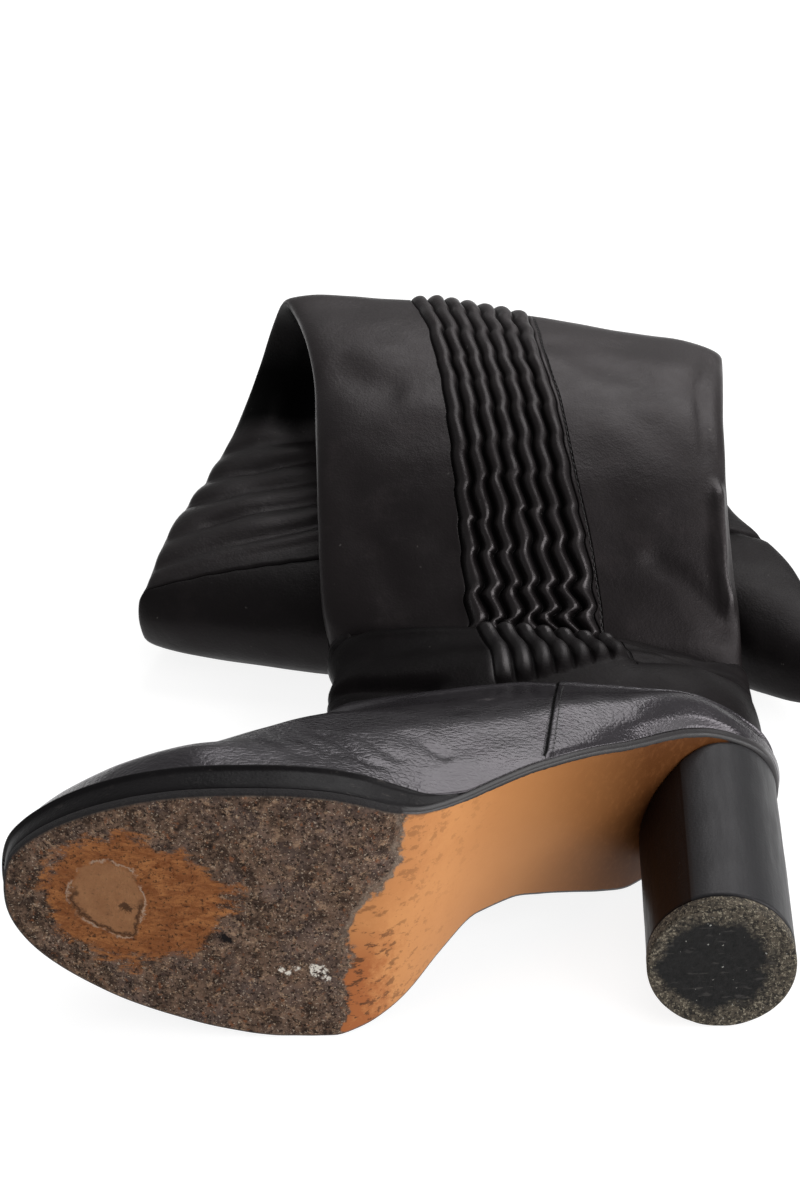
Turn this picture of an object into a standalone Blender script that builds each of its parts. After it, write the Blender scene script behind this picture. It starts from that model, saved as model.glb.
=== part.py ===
"""Thigh-high boot for the left foot, lying on its inner side with its slack shaft folded.

The foot is drawn in last coordinates: l runs from the back of the heel to the toe, w runs
from the inner side (negative) to the outer side (positive), and h rises from the tread
plane. The boot lies down, so h becomes the row's +Y, and w becomes mostly the row's +Z.
The shaft is a flattened tube that follows a table of folds, from the ankle seam up and
over a first fold, back down to a second fold, and along the floor to the open collar.
"""

import math

import bmesh
import bpy
import numpy as np

# ---------------------------------------------------------------- driving dimensions, metres
PLAN_LENGTH = 0.2392  # heel back to toe tip, measured along the tread plane
LIE_ANGLE = math.radians(8.0)  # long axis of the sole against the floor, as the boot lies
HEEL_RADIUS = 0.0225  # round block heel
HEEL_CENTRE_L = 0.0235  # heel axis from the back of the seat
TOP_PIECE_HEIGHT = 0.006
OUTSOLE_THICKNESS = 0.0035
INSOLE_THICKNESS = 0.002
UPPER_WALL = 0.0020
SHAFT_WALL = 0.0016
GAP = 0.0003  # clearance between touching pieces
FACET_SLACK = 0.00012  # more of it where both faces are curved and faceted
BAND_LEAN = 0.0012  # the covered platform stands out past the outsole at its top
PLATFORM_START = 0.106
RUCHE_COUNT = 7
RUCHE_HEIGHT = 0.0016
SEAM_STEP = 0.0010  # the shaft sits this far inside the foot's rolled rim

# Row origin: middle of the bounding box, on the floor
BOX_MIDDLE_X = 0.0094
BOX_MIDDLE_Y = 0.2020

HEEL_BACK_X = 0.0925 + HEEL_CENTRE_L * math.cos(LIE_ANGLE)
HEEL_BACK_Z = HEEL_RADIUS - HEEL_CENTRE_L * math.sin(LIE_ANGLE)

# ---------------------------------------------------------------- tables
# Underside of the sole: l, height of the tread, platform thickness under the last,
# extra height of the inner edge (arch), cupping of both edges (seat)
SOLE_PROFILE = (
    # l, tread, platform, arch, cup
    (0.0000, 0.0930, 0.0000, 0.0000, 0.0004),
    (0.0150, 0.0897, 0.0000, 0.0000, 0.0012),
    (0.0250, 0.0868, 0.0000, 0.0000, 0.0015),
    (0.0330, 0.0815, 0.0000, 0.0003, 0.0014),
    (0.0400, 0.0745, 0.0000, 0.0008, 0.0010),
    (0.0480, 0.0660, 0.0000, 0.0016, 0.0005),
    (0.0560, 0.0585, 0.0000, 0.0026, 0.0000),
    (0.0660, 0.0495, 0.0000, 0.0042, 0.0000),
    (0.0760, 0.0408, 0.0000, 0.0054, 0.0000),
    (0.0860, 0.0325, 0.0000, 0.0060, 0.0000),
    (0.0960, 0.0242, 0.0000, 0.0060, 0.0000),
    (0.1040, 0.0174, 0.0003, 0.0053, 0.0000),
    (0.1060, 0.0157, 0.0012, 0.0050, 0.0000),
    (0.1120, 0.0106, 0.0038, 0.0040, 0.0000),
    (0.1200, 0.0048, 0.0072, 0.0024, 0.0000),
    (0.1280, 0.0013, 0.0092, 0.0010, 0.0000),
    (0.1370, 0.0000, 0.0100, 0.0000, 0.0000),
    (0.1470, 0.0000, 0.0100, 0.0000, 0.0000),
    (0.1580, 0.0000, 0.0100, 0.0000, 0.0000),
    (0.1700, 0.0007, 0.0100, 0.0000, 0.0000),
    (0.1820, 0.0017, 0.0100, 0.0000, 0.0000),
    (0.2000, 0.0038, 0.0098, 0.0000, 0.0000),
    (0.2150, 0.0062, 0.0094, 0.0000, 0.0000),
    (0.2392, 0.0106, 0.0072, 0.0000, 0.0000),
)

# Outline of the sole: l, inner side w, outer side w
SOLE_OUTLINE = (
    # l, inner, outer
    (0.0000, 0.0000, 0.0000),
    (0.0010, -0.0066, 0.0070),
    (0.0040, -0.0130, 0.0136),
    (0.0100, -0.0184, 0.0192),
    (0.0180, -0.0212, 0.0230),
    (0.0300, -0.0228, 0.0268),
    (0.0450, -0.0242, 0.0328),
    (0.0560, -0.0206, 0.0364),
    (0.0660, -0.0166, 0.0394),
    (0.0760, -0.0128, 0.0412),
    (0.0860, -0.0100, 0.0420),
    (0.0960, -0.0106, 0.0415),
    (0.1060, -0.0186, 0.0408),
    (0.1150, -0.0284, 0.0414),
    (0.1250, -0.0346, 0.0440),
    (0.1370, -0.0389, 0.0474),
    (0.1470, -0.0400, 0.0483),
    (0.1550, -0.0407, 0.0482),
    (0.1700, -0.0401, 0.0464),
    (0.1850, -0.0381, 0.0434),
    (0.2000, -0.0350, 0.0384),
    (0.2100, -0.0318, 0.0336),
    (0.2200, -0.0276, 0.0275),
    (0.2280, -0.0228, 0.0212),
    (0.2340, -0.0170, 0.0150),
    (0.2382, -0.0088, 0.0078),
    (0.2392, 0.0000, 0.0000),
)

# Stations along the sole, shared by every piece that lies on it
STATIONS = (
    0.0000, 0.0010, 0.0040, 0.0100, 0.0180, 0.0260, 0.0330, 0.0400, 0.0480, 0.0560, 0.0640,
    0.0720, 0.0800, 0.0880, 0.0960, 0.1040, 0.1060, 0.1120, 0.1200, 0.1280, 0.1370, 0.1470,
    0.1580, 0.1700, 0.1820, 0.1940, 0.2050, 0.2140, 0.2215, 0.2280, 0.2335, 0.2377, 0.2392,
)

# Rings of the upper, from its lower edge to its rim. Each ring leaves the heel's back at
# back_l, back_h and meets the toe, vamp or instep line at front_l, front_h. sag is the share
# of the sole's curve that it follows, and hug the share of the sole's outline that it keeps.
# Half-widths are at five even turns from back to front.
RING_TURNS = (30.0, 60.0, 90.0, 120.0, 150.0)
UPPER_RINGS = (
    # back_l, back_h, front_l, front_h, sag, outer x5, inner x5, hug
    (-0.0006, 0.0995, 0.2368, 0.0315, 0.86,
     (0.0222, 0.0400, 0.0436, 0.0448, 0.0238), (-0.0205, -0.0232, -0.0318, -0.0398, -0.0262), 0.7),
    (-0.0008, 0.1022, 0.2250, 0.0430, 0.62,
     (0.0222, 0.0400, 0.0430, 0.0388, 0.0135), (-0.0202, -0.0262, -0.0345, -0.0378, -0.0200), 0.3),
    (-0.0002, 0.1045, 0.1960, 0.0570, 0.36,
     (0.0210, 0.0372, 0.0395, 0.0378, 0.0160), (-0.0192, -0.0262, -0.0332, -0.0340, -0.0172), 0.0),
    (0.0006, 0.1065, 0.1640, 0.0830, 0.14,
     (0.0192, 0.0318, 0.0320, 0.0262, 0.0130), (-0.0182, -0.0250, -0.0305, -0.0268, -0.0130), 0.0),
    (0.0012, 0.1080, 0.1475, 0.1145, 0.00,
     (0.0172, 0.0262, 0.0238, 0.0160, 0.0086), (-0.0170, -0.0238, -0.0276, -0.0212, -0.0100), 0.0),
)

# The shaft: left edge, right edge, thickness, how far the middle bows away from the foot, and
# where the ruched panel starts and ends across the top face. Positions are before the row
# origin is moved to the box's middle.
SHAFT_FOLDS = (
    # name, left xyz, right xyz, thickness, bow, panel start, panel end, panel relief
    ("ankle_low", (-0.0300, 0.1270, 0.0375), (0.1120, 0.1215, 0.0240), 0.0490, 0, 0.37, 0.72, 0.0),
    ("ankle_fold", (-0.0286, 0.1390, 0.0345), (0.1106, 0.1345, 0.0232), 0.0430, 0, 0.37, 0.72, 0.6),
    ("ankle_bulge", (-0.0318, 0.1550, 0.0300), (0.1100, 0.1495, 0.0232), 0.0430, 0, 0.365, 0.70, 1.0),
    ("crease", (-0.0318, 0.1700, 0.0245), (0.1092, 0.1650, 0.0190), 0.0310, 0, 0.36, 0.685, 0.8),
    ("rise_1", (-0.0345, 0.1820, 0.0395), (0.1088, 0.1775, 0.0330), 0.0220, 0, 0.355, 0.67, 1.0),
    ("rise_2", (-0.0352, 0.1960, 0.0565), (0.1070, 0.1915, 0.0490), 0.0190, 0, 0.345, 0.65, 1.0),
    ("rise_3", (-0.0360, 0.2190, 0.0745), (0.1062, 0.2120, 0.0655), 0.0180, 0, 0.335, 0.62, 1.0),
    ("rise_4", (-0.0372, 0.2510, 0.0890), (0.1064, 0.2380, 0.0775), 0.0170, 0, 0.32, 0.585, 1.0),
    ("rise_5", (-0.0425, 0.2840, 0.0968), (0.1078, 0.2640, 0.0815), 0.0160, 0, 0.305, 0.55, 1.0),
    ("fold_1_top", (-0.0500, 0.3100, 0.0972), (0.1085, 0.2830, 0.0808), 0.0150, 0, 0.30, 0.54, 1.0),
    ("fold_1_out", (-0.0565, 0.3230, 0.0830), (0.1070, 0.2960, 0.0705), 0.0150, 0, 0.30, 0.54, 0.8),
    ("fold_1_under", (-0.0635, 0.3200, 0.0645), (0.1060, 0.2950, 0.0560), 0.0150, 0, 0.30, 0.54, 0.6),
    ("back_1", (-0.0720, 0.3000, 0.0500), (0.1045, 0.2850, 0.0465), 0.0160, 0, 0.30, 0.54, 0.5),
    ("back_2", (-0.0815, 0.2740, 0.0425), (0.1040, 0.2740, 0.0420), 0.0175, 0, 0.30, 0.54, 0.5),
    ("back_3", (-0.0930, 0.2430, 0.0385), (0.1055, 0.2660, 0.0395), 0.0185, 0, 0.30, 0.54, 0.5),
    ("seam", (-0.0992, 0.2150, 0.0322), (0.1095, 0.2500, 0.0375), 0.0190, 0.003, 0.30, 0.54, 0.4),
)

THIGH_FOLDS = (
    # name, left xyz, right xyz, thickness, bow
    ("seam", (-0.0992, 0.2150, 0.0322), (0.1095, 0.2500, 0.0375), 0.0190, 0.003),
    ("fold_2_top", (-0.1014, 0.2110, 0.0295), (0.1300, 0.2080, 0.0355), 0.0190, 0.010),
    ("fold_2_out", (-0.1020, 0.2095, 0.0222), (0.1400, 0.1620, 0.0232), 0.0190, 0.027),
    ("fold_2_under", (-0.1012, 0.2125, 0.0137), (0.1390, 0.1610, 0.0127), 0.0190, 0.026),
    ("floor_1", (-0.0985, 0.2225, 0.0113), (0.1310, 0.1810, 0.0108), 0.0190, 0.016),
    ("floor_2", (-0.0930, 0.2450, 0.0110), (0.1200, 0.2250, 0.0110), 0.0195, 0.006),
    ("floor_3", (-0.0860, 0.2780, 0.0112), (0.1120, 0.2680, 0.0112), 0.0200, 0.0),
    ("floor_4", (-0.0780, 0.3200, 0.0115), (0.1080, 0.3180, 0.0115), 0.0210, 0.0),
    ("floor_5", (-0.0730, 0.3620, 0.0120), (0.1085, 0.3640, 0.0120), 0.0220, 0.0),
    ("collar", (-0.0700, 0.4020, 0.0125), (0.1090, 0.4040, 0.0125), 0.0230, 0.0),
)

# Where the second fold stands back: it lies against the shaft's first run, and only its two
# ends come forward. Share of the width, share of the bow.
BOW_SHAPE = (
    (0.00, 0.00),
    (0.16, 0.06),
    (0.28, 0.12),
    (0.42, 0.44),
    (0.62, 0.84),
    (0.80, 1.00),
    (0.90, 0.42),
    (0.95, 0.16),
    (1.00, 0.00),
)

TUBE_ROUNDNESS = 2.3  # exponent of the flattened tube's section


# ---------------------------------------------------------------- numbers
def smooth_table(xs, ys, x):
    """Shape-preserving cubic through a table, at the positions x."""
    xs = np.asarray(xs, float)
    ys = np.asarray(ys, float)
    x = np.clip(np.asarray(x, float), xs[0], xs[-1])
    step = np.diff(xs)
    slope = np.diff(ys) / step
    grade = np.zeros(len(xs))
    for i in range(1, len(xs) - 1):
        if slope[i - 1] * slope[i] > 0:
            before = 2 * step[i] + step[i - 1]
            after = step[i] + 2 * step[i - 1]
            grade[i] = (before + after) / (before / slope[i - 1] + after / slope[i])
    grade[0] = slope[0]
    grade[-1] = slope[-1]
    k = np.clip(np.searchsorted(xs, x, side="right") - 1, 0, len(step) - 1)
    t = (x - xs[k]) / step[k]
    rise = ys[k] * (1 + 2 * t) * (1 - t) ** 2 + ys[k + 1] * t * t * (3 - 2 * t)
    lean = step[k] * (grade[k] * t * (1 - t) ** 2 - grade[k + 1] * t * t * (1 - t))
    return rise + lean


def column(table, index):
    """One named column of a table, as an array."""
    return np.array([row[index] for row in table], float)


def tread_height(l, w):
    """Height of the sole's underside at a point of the plan."""
    ls = column(SOLE_PROFILE, 0)
    base = smooth_table(ls, column(SOLE_PROFILE, 1), l)
    arch = smooth_table(ls, column(SOLE_PROFILE, 3), l)
    cup = smooth_table(ls, column(SOLE_PROFILE, 4), l)
    inner, outer = outline(l)
    middle = (inner + outer) / 2
    half = np.maximum((outer - inner) / 2, 0.004)
    across = np.clip((w - middle) / half, -1.2, 1.2)
    return base + arch * ((1 - across) / 2) ** 2 + cup * across**2


def platform_height(l):
    """Thickness of the platform under the last."""
    return smooth_table(column(SOLE_PROFILE, 0), column(SOLE_PROFILE, 2), l)


def deck_height(l, w):
    """Top of what the upper stands on: the outsole, or the platform on it."""
    return tread_height(l, w) + OUTSOLE_THICKNESS + platform_height(l)


def sole_gap(l):
    """Height that leaves GAP square to the sole, where it slopes."""
    reach = 0.002
    l = np.asarray(l, float)
    rise = tread_height(l + reach, 0.0 * l) - tread_height(l - reach, 0.0 * l)
    slope = rise / (2 * reach)
    return GAP * np.sqrt(1 + slope**2) + FACET_SLACK


def outline(l):
    """Inner and outer edge of the sole at l."""
    turn = np.arccos(np.clip(1 - 2 * np.asarray(l, float) / PLAN_LENGTH, -1, 1))
    turns = np.arccos(np.clip(1 - 2 * column(SOLE_OUTLINE, 0) / PLAN_LENGTH, -1, 1))
    inner = smooth_table(turns, column(SOLE_OUTLINE, 1), turn)
    outer = smooth_table(turns, column(SOLE_OUTLINE, 2), turn)
    return inner, outer


def place(l, w, h):
    """Last coordinates to the row's frame, as the boot lies on its inner side."""
    l, w, h = np.broadcast_arrays(np.asarray(l, float), w, h)
    x = HEEL_BACK_X - l * math.cos(LIE_ANGLE) + w * math.sin(LIE_ANGLE) - BOX_MIDDLE_X
    z = HEEL_BACK_Z + l * math.sin(LIE_ANGLE) + w * math.cos(LIE_ANGLE)
    return np.stack([x, h - BOX_MIDDLE_Y, z], axis=-1)


# ---------------------------------------------------------------- meshes
def make_object(name, points, faces, material):
    """A closed body with its faces outward, as an object."""
    mesh = bpy.data.meshes.new(name)
    body = bmesh.new()
    verts = [body.verts.new(p) for p in points]
    for face in faces:
        body.faces.new([verts[i] for i in face])
    bmesh.ops.remove_doubles(body, verts=body.verts, dist=1e-6)
    bmesh.ops.dissolve_degenerate(body, dist=1e-6, edges=body.edges)
    bmesh.ops.recalc_face_normals(body, faces=body.faces)
    if body.calc_volume(signed=True) < 0:
        bmesh.ops.reverse_faces(body, faces=body.faces)
    body.to_mesh(mesh)
    body.free()
    mesh.shade_smooth()
    mesh.set_sharp_from_angle(angle=math.radians(40))
    mesh.materials.append(material)
    obj = bpy.data.objects.new(name, mesh)
    bpy.context.collection.objects.link(obj)
    return obj


def make_material(name, color, roughness):
    """A plain Principled material."""
    material = bpy.data.materials.new(name)
    material.use_nodes = True
    shader = material.node_tree.nodes["Principled BSDF"]
    shader.inputs["Base Color"].default_value = (*color, 1.0)
    shader.inputs["Roughness"].default_value = roughness
    shader.inputs["Metallic"].default_value = 0.0
    return material


def skin(sections):
    """Faces along a row of closed sections with equal point counts, with both ends filled."""
    count = len(sections[0])
    faces = []
    for k in range(len(sections) - 1):
        for j in range(count):
            n = (j + 1) % count
            faces.append((k * count + j, k * count + n, (k + 1) * count + n, (k + 1) * count + j))
    faces.append(tuple(range(count))[::-1])
    last = (len(sections) - 1) * count
    faces.append(tuple(last + j for j in range(count)))
    return np.concatenate(sections), faces


def shell(outer, inner):
    """A tube wall between two grids of rings, open at both ends."""
    rings, count = outer.shape[:2]
    shift = rings * count
    faces = []
    for k in range(rings - 1):
        for j in range(count):
            n = (j + 1) % count
            a = k * count
            b = a + count
            faces.append((a + j, a + n, b + n, b + j))
            faces.append((shift + b + j, shift + b + n, shift + a + n, shift + a + j))
    top = (rings - 1) * count
    for j in range(count):
        n = (j + 1) % count
        faces.append((n, j, shift + j, shift + n))
        faces.append((top + j, top + n, shift + top + n, shift + top + j))
    points = np.concatenate([outer.reshape(-1, 3), inner.reshape(-1, 3)])
    return points, faces


# ---------------------------------------------------------------- sole pieces
ACROSS = np.array([-1.0, -0.72, -0.36, 0.0, 0.36, 0.72, 1.0])


def slab(stations, low, high, low_inset, high_inset, end_inset=0.0):
    """Sections of a slab that follows the sole, between two height functions."""
    sections = []
    for l in stations:
        inner, outer = outline((l - end_inset) * PLAN_LENGTH / (PLAN_LENGTH - 2 * end_inset))
        middle = (inner + outer) / 2
        half = (outer - inner) / 2
        here = np.full(len(ACROSS), l)
        under = np.maximum(middle + ACROSS * max(half - low_inset, 0.0), floor_limit(here))
        over = np.maximum(middle + ACROSS[::-1] * max(half - high_inset, 0.0), floor_limit(here))
        bottom = place(here, under, low(here, under))
        top = place(here, over, high(here, over))
        sections.append(np.concatenate([bottom, top]))
    return sections


def make_outsole(material):
    """Leather outsole, full length, with arch, toe spring and seat."""
    sections = slab(
        STATIONS,
        lambda l, w: tread_height(l, w),
        lambda l, w: tread_height(l, w) + OUTSOLE_THICKNESS,
        0.0,
        0.0,
    )
    return make_object("outsole", *skin(sections), material)


def make_platform(material):
    """Covered platform under the forefoot, tapering out behind the ball."""
    stations = [l for l in STATIONS if l >= PLATFORM_START]
    sections = slab(
        stations,
        lambda l, w: tread_height(l, w) + OUTSOLE_THICKNESS + sole_gap(l),
        lambda l, w: deck_height(l, w),
        -0.0002,
        -BAND_LEAN,
    )
    return make_object("platform", *skin(sections), material)


def make_insole(material):
    """Insole board inside the upper."""
    inset = UPPER_WALL + 0.0020
    stations = [l for l in STATIONS if inset < l < PLAN_LENGTH - inset]
    sections = slab(
        stations,
        lambda l, w: deck_height(l, w) + sole_gap(l),
        lambda l, w: deck_height(l, w) + sole_gap(l) + INSOLE_THICKNESS,
        inset,
        inset,
        inset,
    )
    return make_object("insole", *skin(sections), material)


BLOCK_SIDES = 36
BLOCK_RINGS = 3


def disc_plan(radius):
    """Plan points of the heel's top: the rim ring first, then rings inward, then the centre."""
    points = []
    for k in range(BLOCK_RINGS):
        r = radius * (BLOCK_RINGS - k) / BLOCK_RINGS
        for j in range(BLOCK_SIDES):
            a = 2 * math.pi * j / BLOCK_SIDES
            points.append((HEEL_CENTRE_L + r * math.cos(a), r * math.sin(a)))
    points.append((HEEL_CENTRE_L, 0.0))
    return np.array(points)


def round_block(name, radius, low, high, material):
    """A round block with a flat underside and a top that follows a height function."""
    plan = disc_plan(radius)
    top = place(plan[:, 0], plan[:, 1], high(plan[:, 0], plan[:, 1]))
    rim = plan[:BLOCK_SIDES]
    bottom = place(rim[:, 0], rim[:, 1], low)
    count = len(plan)
    faces = [tuple(range(count, count + BLOCK_SIDES))]
    last = (BLOCK_RINGS - 1) * BLOCK_SIDES
    for j in range(BLOCK_SIDES):
        n = (j + 1) % BLOCK_SIDES
        faces.append((j, n, count + n, count + j))
        for k in range(BLOCK_RINGS - 1):
            a = k * BLOCK_SIDES
            b = a + BLOCK_SIDES
            faces.append((a + j, a + n, b + n, b + j))
        faces.append((last + j, last + n, count - 1))
    return make_object(name, np.concatenate([top, bottom]), faces, material)


def make_heel(material):
    """Round block heel, cut to the curve of the seat."""
    return round_block(
        "heel",
        HEEL_RADIUS,
        TOP_PIECE_HEIGHT + GAP,
        lambda l, w: tread_height(l, w) - sole_gap(l) - 2 * FACET_SLACK,
        material,
    )


def make_top_piece(material):
    """Flat top piece that the heel stands on."""
    body = bmesh.new()
    bmesh.ops.create_cone(
        body,
        cap_ends=True,
        segments=BLOCK_SIDES,
        radius1=HEEL_RADIUS,
        radius2=HEEL_RADIUS,
        depth=TOP_PIECE_HEIGHT,
    )
    points = np.array([v.co for v in body.verts])
    faces = [tuple(v.index for v in face.verts) for face in body.faces]
    body.free()
    l = HEEL_CENTRE_L + points[:, 0]
    points = place(l, points[:, 1], points[:, 2] + TOP_PIECE_HEIGHT / 2)
    return make_object("top_piece", points, faces, material)


# ---------------------------------------------------------------- upper
def floor_limit(l):
    """The furthest inward w that stays above the floor at l."""
    return -(HEEL_BACK_Z + l * math.sin(LIE_ANGLE)) / math.cos(LIE_ANGLE) + 0.0002


def upper_ring(row, share):
    """Plan and height of one ring row at stations given as shares of its length."""
    back_l, back_h, front_l, front_h, sag, outer, inner, hug = row
    l = back_l + (front_l - back_l) * share
    turn = np.arccos(np.clip(1 - 2 * share, -1, 1))
    turns = np.radians([0.0, *RING_TURNS, 180.0])
    w_outer = smooth_table(turns, [0.0, *outer, 0.0], turn)
    w_inner = smooth_table(turns, [0.0, *inner, 0.0], turn)
    sole_inner, sole_outer = outline(share * PLAN_LENGTH)
    w_outer = w_outer + hug * HUG_SHARE * (sole_outer - w_outer)
    w_inner = w_inner + hug * (sole_inner - w_inner)
    return l, w_outer, w_inner, ring_height(row, l)


def ring_height(row, l):
    """Height along a ring: a straight line with a share of the sole's curve."""
    back_l, back_h, front_l, front_h, sag = row[:5]
    share = (l - back_l) / (front_l - back_l)
    line = back_h + (front_h - back_h) * share
    on_sole = np.clip(l, 0.0, PLAN_LENGTH)
    start = deck_height(np.array([0.0]), np.array([0.0]))[0]
    stop = deck_height(np.array([front_l]), np.array([0.0]))[0]
    chord = start + (stop - start) * share
    return line + sag * (deck_height(on_sole, 0.0 * on_sole) - chord)


def loop(values_outer, values_inner):
    """Joins the outer side, heel to toe, to the inner side, toe to heel, in one loop."""
    return np.concatenate([values_outer, values_inner[-2:0:-1]])


def upper_keys():
    """Closed key rings of the upper as (ring, point, lwh), its lower edge first."""
    share = np.array(STATIONS) / PLAN_LENGTH
    inner, outer = outline(np.array(STATIONS))
    l = np.clip(np.array(STATIONS), GAP, PLAN_LENGTH - GAP)
    plan_l = loop(l, l)
    plan_w = loop(np.maximum(outer - 0.0004, 0.0), np.minimum(inner + 0.0004, 0.0))
    height = deck_height(plan_l, plan_w) + sole_gap(plan_l)
    keys = [np.stack([plan_l, plan_w, height], axis=-1)]
    for row in UPPER_RINGS:
        l, w_outer, w_inner, h = upper_ring(row, share)
        keys.append(np.stack([loop(l, l), loop(w_outer, w_inner), loop(h, h)], axis=-1))
    return np.array(keys)


HUG_SHARE = 0.4  # the outer side keeps less of the sole's outline than the arch does
RING_STEPS = (0.0, 0.25, 0.6, 1.0, 1.5, 2.0, 2.35, 2.7, 3.0, 3.35, 3.7, 4.0, 4.35, 4.7, 5.0)


def upper_grid():
    """Outer surface of the upper: smooth rings through the key rings."""
    keys = upper_keys()
    steps = np.arange(len(keys), dtype=float)
    flat = keys.reshape(len(keys), -1)
    grid = np.stack([smooth_table(steps, flat[:, c], RING_STEPS) for c in range(flat.shape[1])])
    grid = grid.T.reshape(len(RING_STEPS), -1, 3)
    limit = floor_limit(grid[..., 0])
    grid[..., 1] = np.maximum(grid[..., 1], limit)
    return grid


def grid_normals(grid):
    """Outward normals of a grid of rings."""
    along = np.gradient(grid, axis=0)
    around = np.roll(grid, -1, axis=1) - np.roll(grid, 1, axis=1)
    normal = np.cross(around, along)
    size = np.linalg.norm(normal, axis=-1, keepdims=True)
    normal = normal / np.maximum(size, 1e-12)
    centre = grid.mean(axis=1, keepdims=True)
    if ((grid - centre) * normal).sum() < 0:
        normal = -normal
    return normal


def make_upper(material):
    """Foot part of the boot: a hollow shell on the last, open below and at the ankle."""
    grid = upper_grid()
    normal = grid_normals(grid)
    inside = grid - normal * UPPER_WALL
    # The lower edge stands flat on the deck, and the rim lies in one plane with the ankle seam
    flat = normal[0] * np.array([1.0, 1.0, 0.0])
    flat = flat / np.linalg.norm(flat, axis=-1, keepdims=True)
    inside[0] = grid[0] - flat * UPPER_WALL
    low_edge = inside[0]
    low_edge[:, 2] = deck_height(low_edge[:, 0], low_edge[:, 1]) + sole_gap(low_edge[:, 0])
    level = normal[-1] * np.array([1.0, 1.0, 0.0])
    level = level / np.linalg.norm(level, axis=-1, keepdims=True)
    inside[-1] = grid[-1] - level * UPPER_WALL
    inside[-1, :, 2] = ring_height(UPPER_RINGS[-1], inside[-1, :, 0])
    outer = place(grid[..., 0], grid[..., 1], grid[..., 2])
    inner = place(inside[..., 0], inside[..., 1], inside[..., 2])
    return make_object("upper", *shell(outer, inner), material)


# ---------------------------------------------------------------- shaft
FLANK_COUNT = 5


def turn_spaced(count):
    """Shares from 0 to 1 that crowd towards both ends."""
    return (1 - np.cos(np.linspace(0, math.pi, count))) / 2


def top_shares(start, stop):
    """Positions across the top face: left flank, ruched panel, right flank."""
    flank = 1 - np.cos(np.linspace(0, math.pi / 2, FLANK_COUNT + 1))[:-1]
    panel = np.linspace(start, stop, 2 * RUCHE_COUNT + 1)
    return np.concatenate([start * flank, panel, (1 - (1 - stop) * flank)[::-1]])


UNDER_SHARES = turn_spaced(11)[1:-1][::-1]
PLAIN_SHARES = turn_spaced(13)
FLAT_FLANK = [0.0] * FLANK_COUNT
RUCHE_WAVE = np.array(FLAT_FLANK + [0.0, 1.0] * RUCHE_COUNT + [0.0] + FLAT_FLANK)


def section_depth(share):
    """Half-thickness of the flattened tube at a share of its width, from 0 to 1."""
    return (1 - np.abs(2 * share - 1) ** TUBE_ROUNDNESS) ** (1 / TUBE_ROUNDNESS)


def ankle_depth(share, side):
    """Distance of the ankle seam's outline from its front-to-back line, top or underside."""
    row = UPPER_RINGS[-1]
    turns = np.radians([0.0, *RING_TURNS, 180.0])
    turn = np.arccos(np.clip(1 - 2 * (1 - share), -1, 1))
    widths = row[5] if side > 0 else row[6]
    return smooth_table(turns, [0.0, *widths, 0.0], turn)


def unit(v):
    return v / np.linalg.norm(v, axis=-1, keepdims=True)


def fold_path(rows, steps):
    """Left edge, right edge, other columns and travel direction along a table of folds."""
    values = np.array([[*row[1], *row[2], *row[3:]] for row in rows], float)
    middle = (values[:, :3] + values[:, 3:6]) / 2
    reach = np.concatenate([[0.0], np.cumsum(np.linalg.norm(np.diff(middle, axis=0), axis=1))])
    at = np.interp(steps, np.arange(len(rows)), reach)
    nudge = 1e-4

    def read(s):
        return np.stack([smooth_table(reach, values[:, c], s) for c in range(values.shape[1])], 1)

    got = read(at)
    ahead = read(np.minimum(at + nudge, reach[-1]))
    behind = read(np.maximum(at - nudge, 0.0))
    travel = (ahead[:, :3] + ahead[:, 3:6] - behind[:, :3] - behind[:, 3:6]) / 2
    return got, unit(travel)


def bow_shift(share, bow):
    """How far the tube's middle stands back from the line between its edges."""
    shape = smooth_table(column(BOW_SHAPE, 0), column(BOW_SHAPE, 1), share)
    return np.array([0.0, bow * float(shape), 0.0])


def tube_ring(left, right, up, thickness, bow, top, under, relief, inset, seam):
    """One ring of the flattened tube. seam is how much of the ankle outline it keeps."""
    edge = unit(right - left)
    start = left + edge * inset
    stop = right - edge * inset
    half = max(thickness / 2 - inset, 0.0008)
    points = []
    for share, lift in zip(top, relief):
        depth = half * section_depth(share)
        shaped = max(ankle_depth(share, 1) - inset * section_depth(share), 0.0)
        off = depth * (1 - seam) + shaped * seam + lift
        points.append(start + (stop - start) * share + up * off + bow_shift(share, bow))
    for share in under:
        depth = half * section_depth(share)
        shaped = max(-ankle_depth(share, -1) - inset * section_depth(share), 0.0)
        off = depth * (1 - seam) + shaped * seam
        points.append(start + (stop - start) * share - up * off + bow_shift(share, bow))
    return np.array(points)


def tube_rings(rows, steps, wall, seam_row, seam_fade, has_panel):
    """Outer and inner rings along a table of folds."""
    got, travel = fold_path(rows, steps)
    outer = []
    inner = []
    for k, step in enumerate(steps):
        left, right, thickness, bow = got[k, :3], got[k, 3:6], got[k, 6], got[k, 7]
        if has_panel:
            top = top_shares(got[k, 8], got[k, 9])
            relief = RUCHE_WAVE * RUCHE_HEIGHT * got[k, 10]
        else:
            top = PLAIN_SHARES
            relief = np.zeros(len(top))
        up = unit(np.cross(unit(right - left), travel[k]))
        seam = max(0.0, 1 - step / seam_fade) if seam_row else 0.0
        seam = seam * seam * (3 - 2 * seam)
        flat = np.zeros(len(top))
        shape = (left, right, up, thickness, bow, top, UNDER_SHARES)
        outer.append(tube_ring(*shape, relief, 0.0, seam))
        inner.append(tube_ring(*shape, flat, wall, seam))
    return np.array(outer), np.array(inner)


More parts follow.
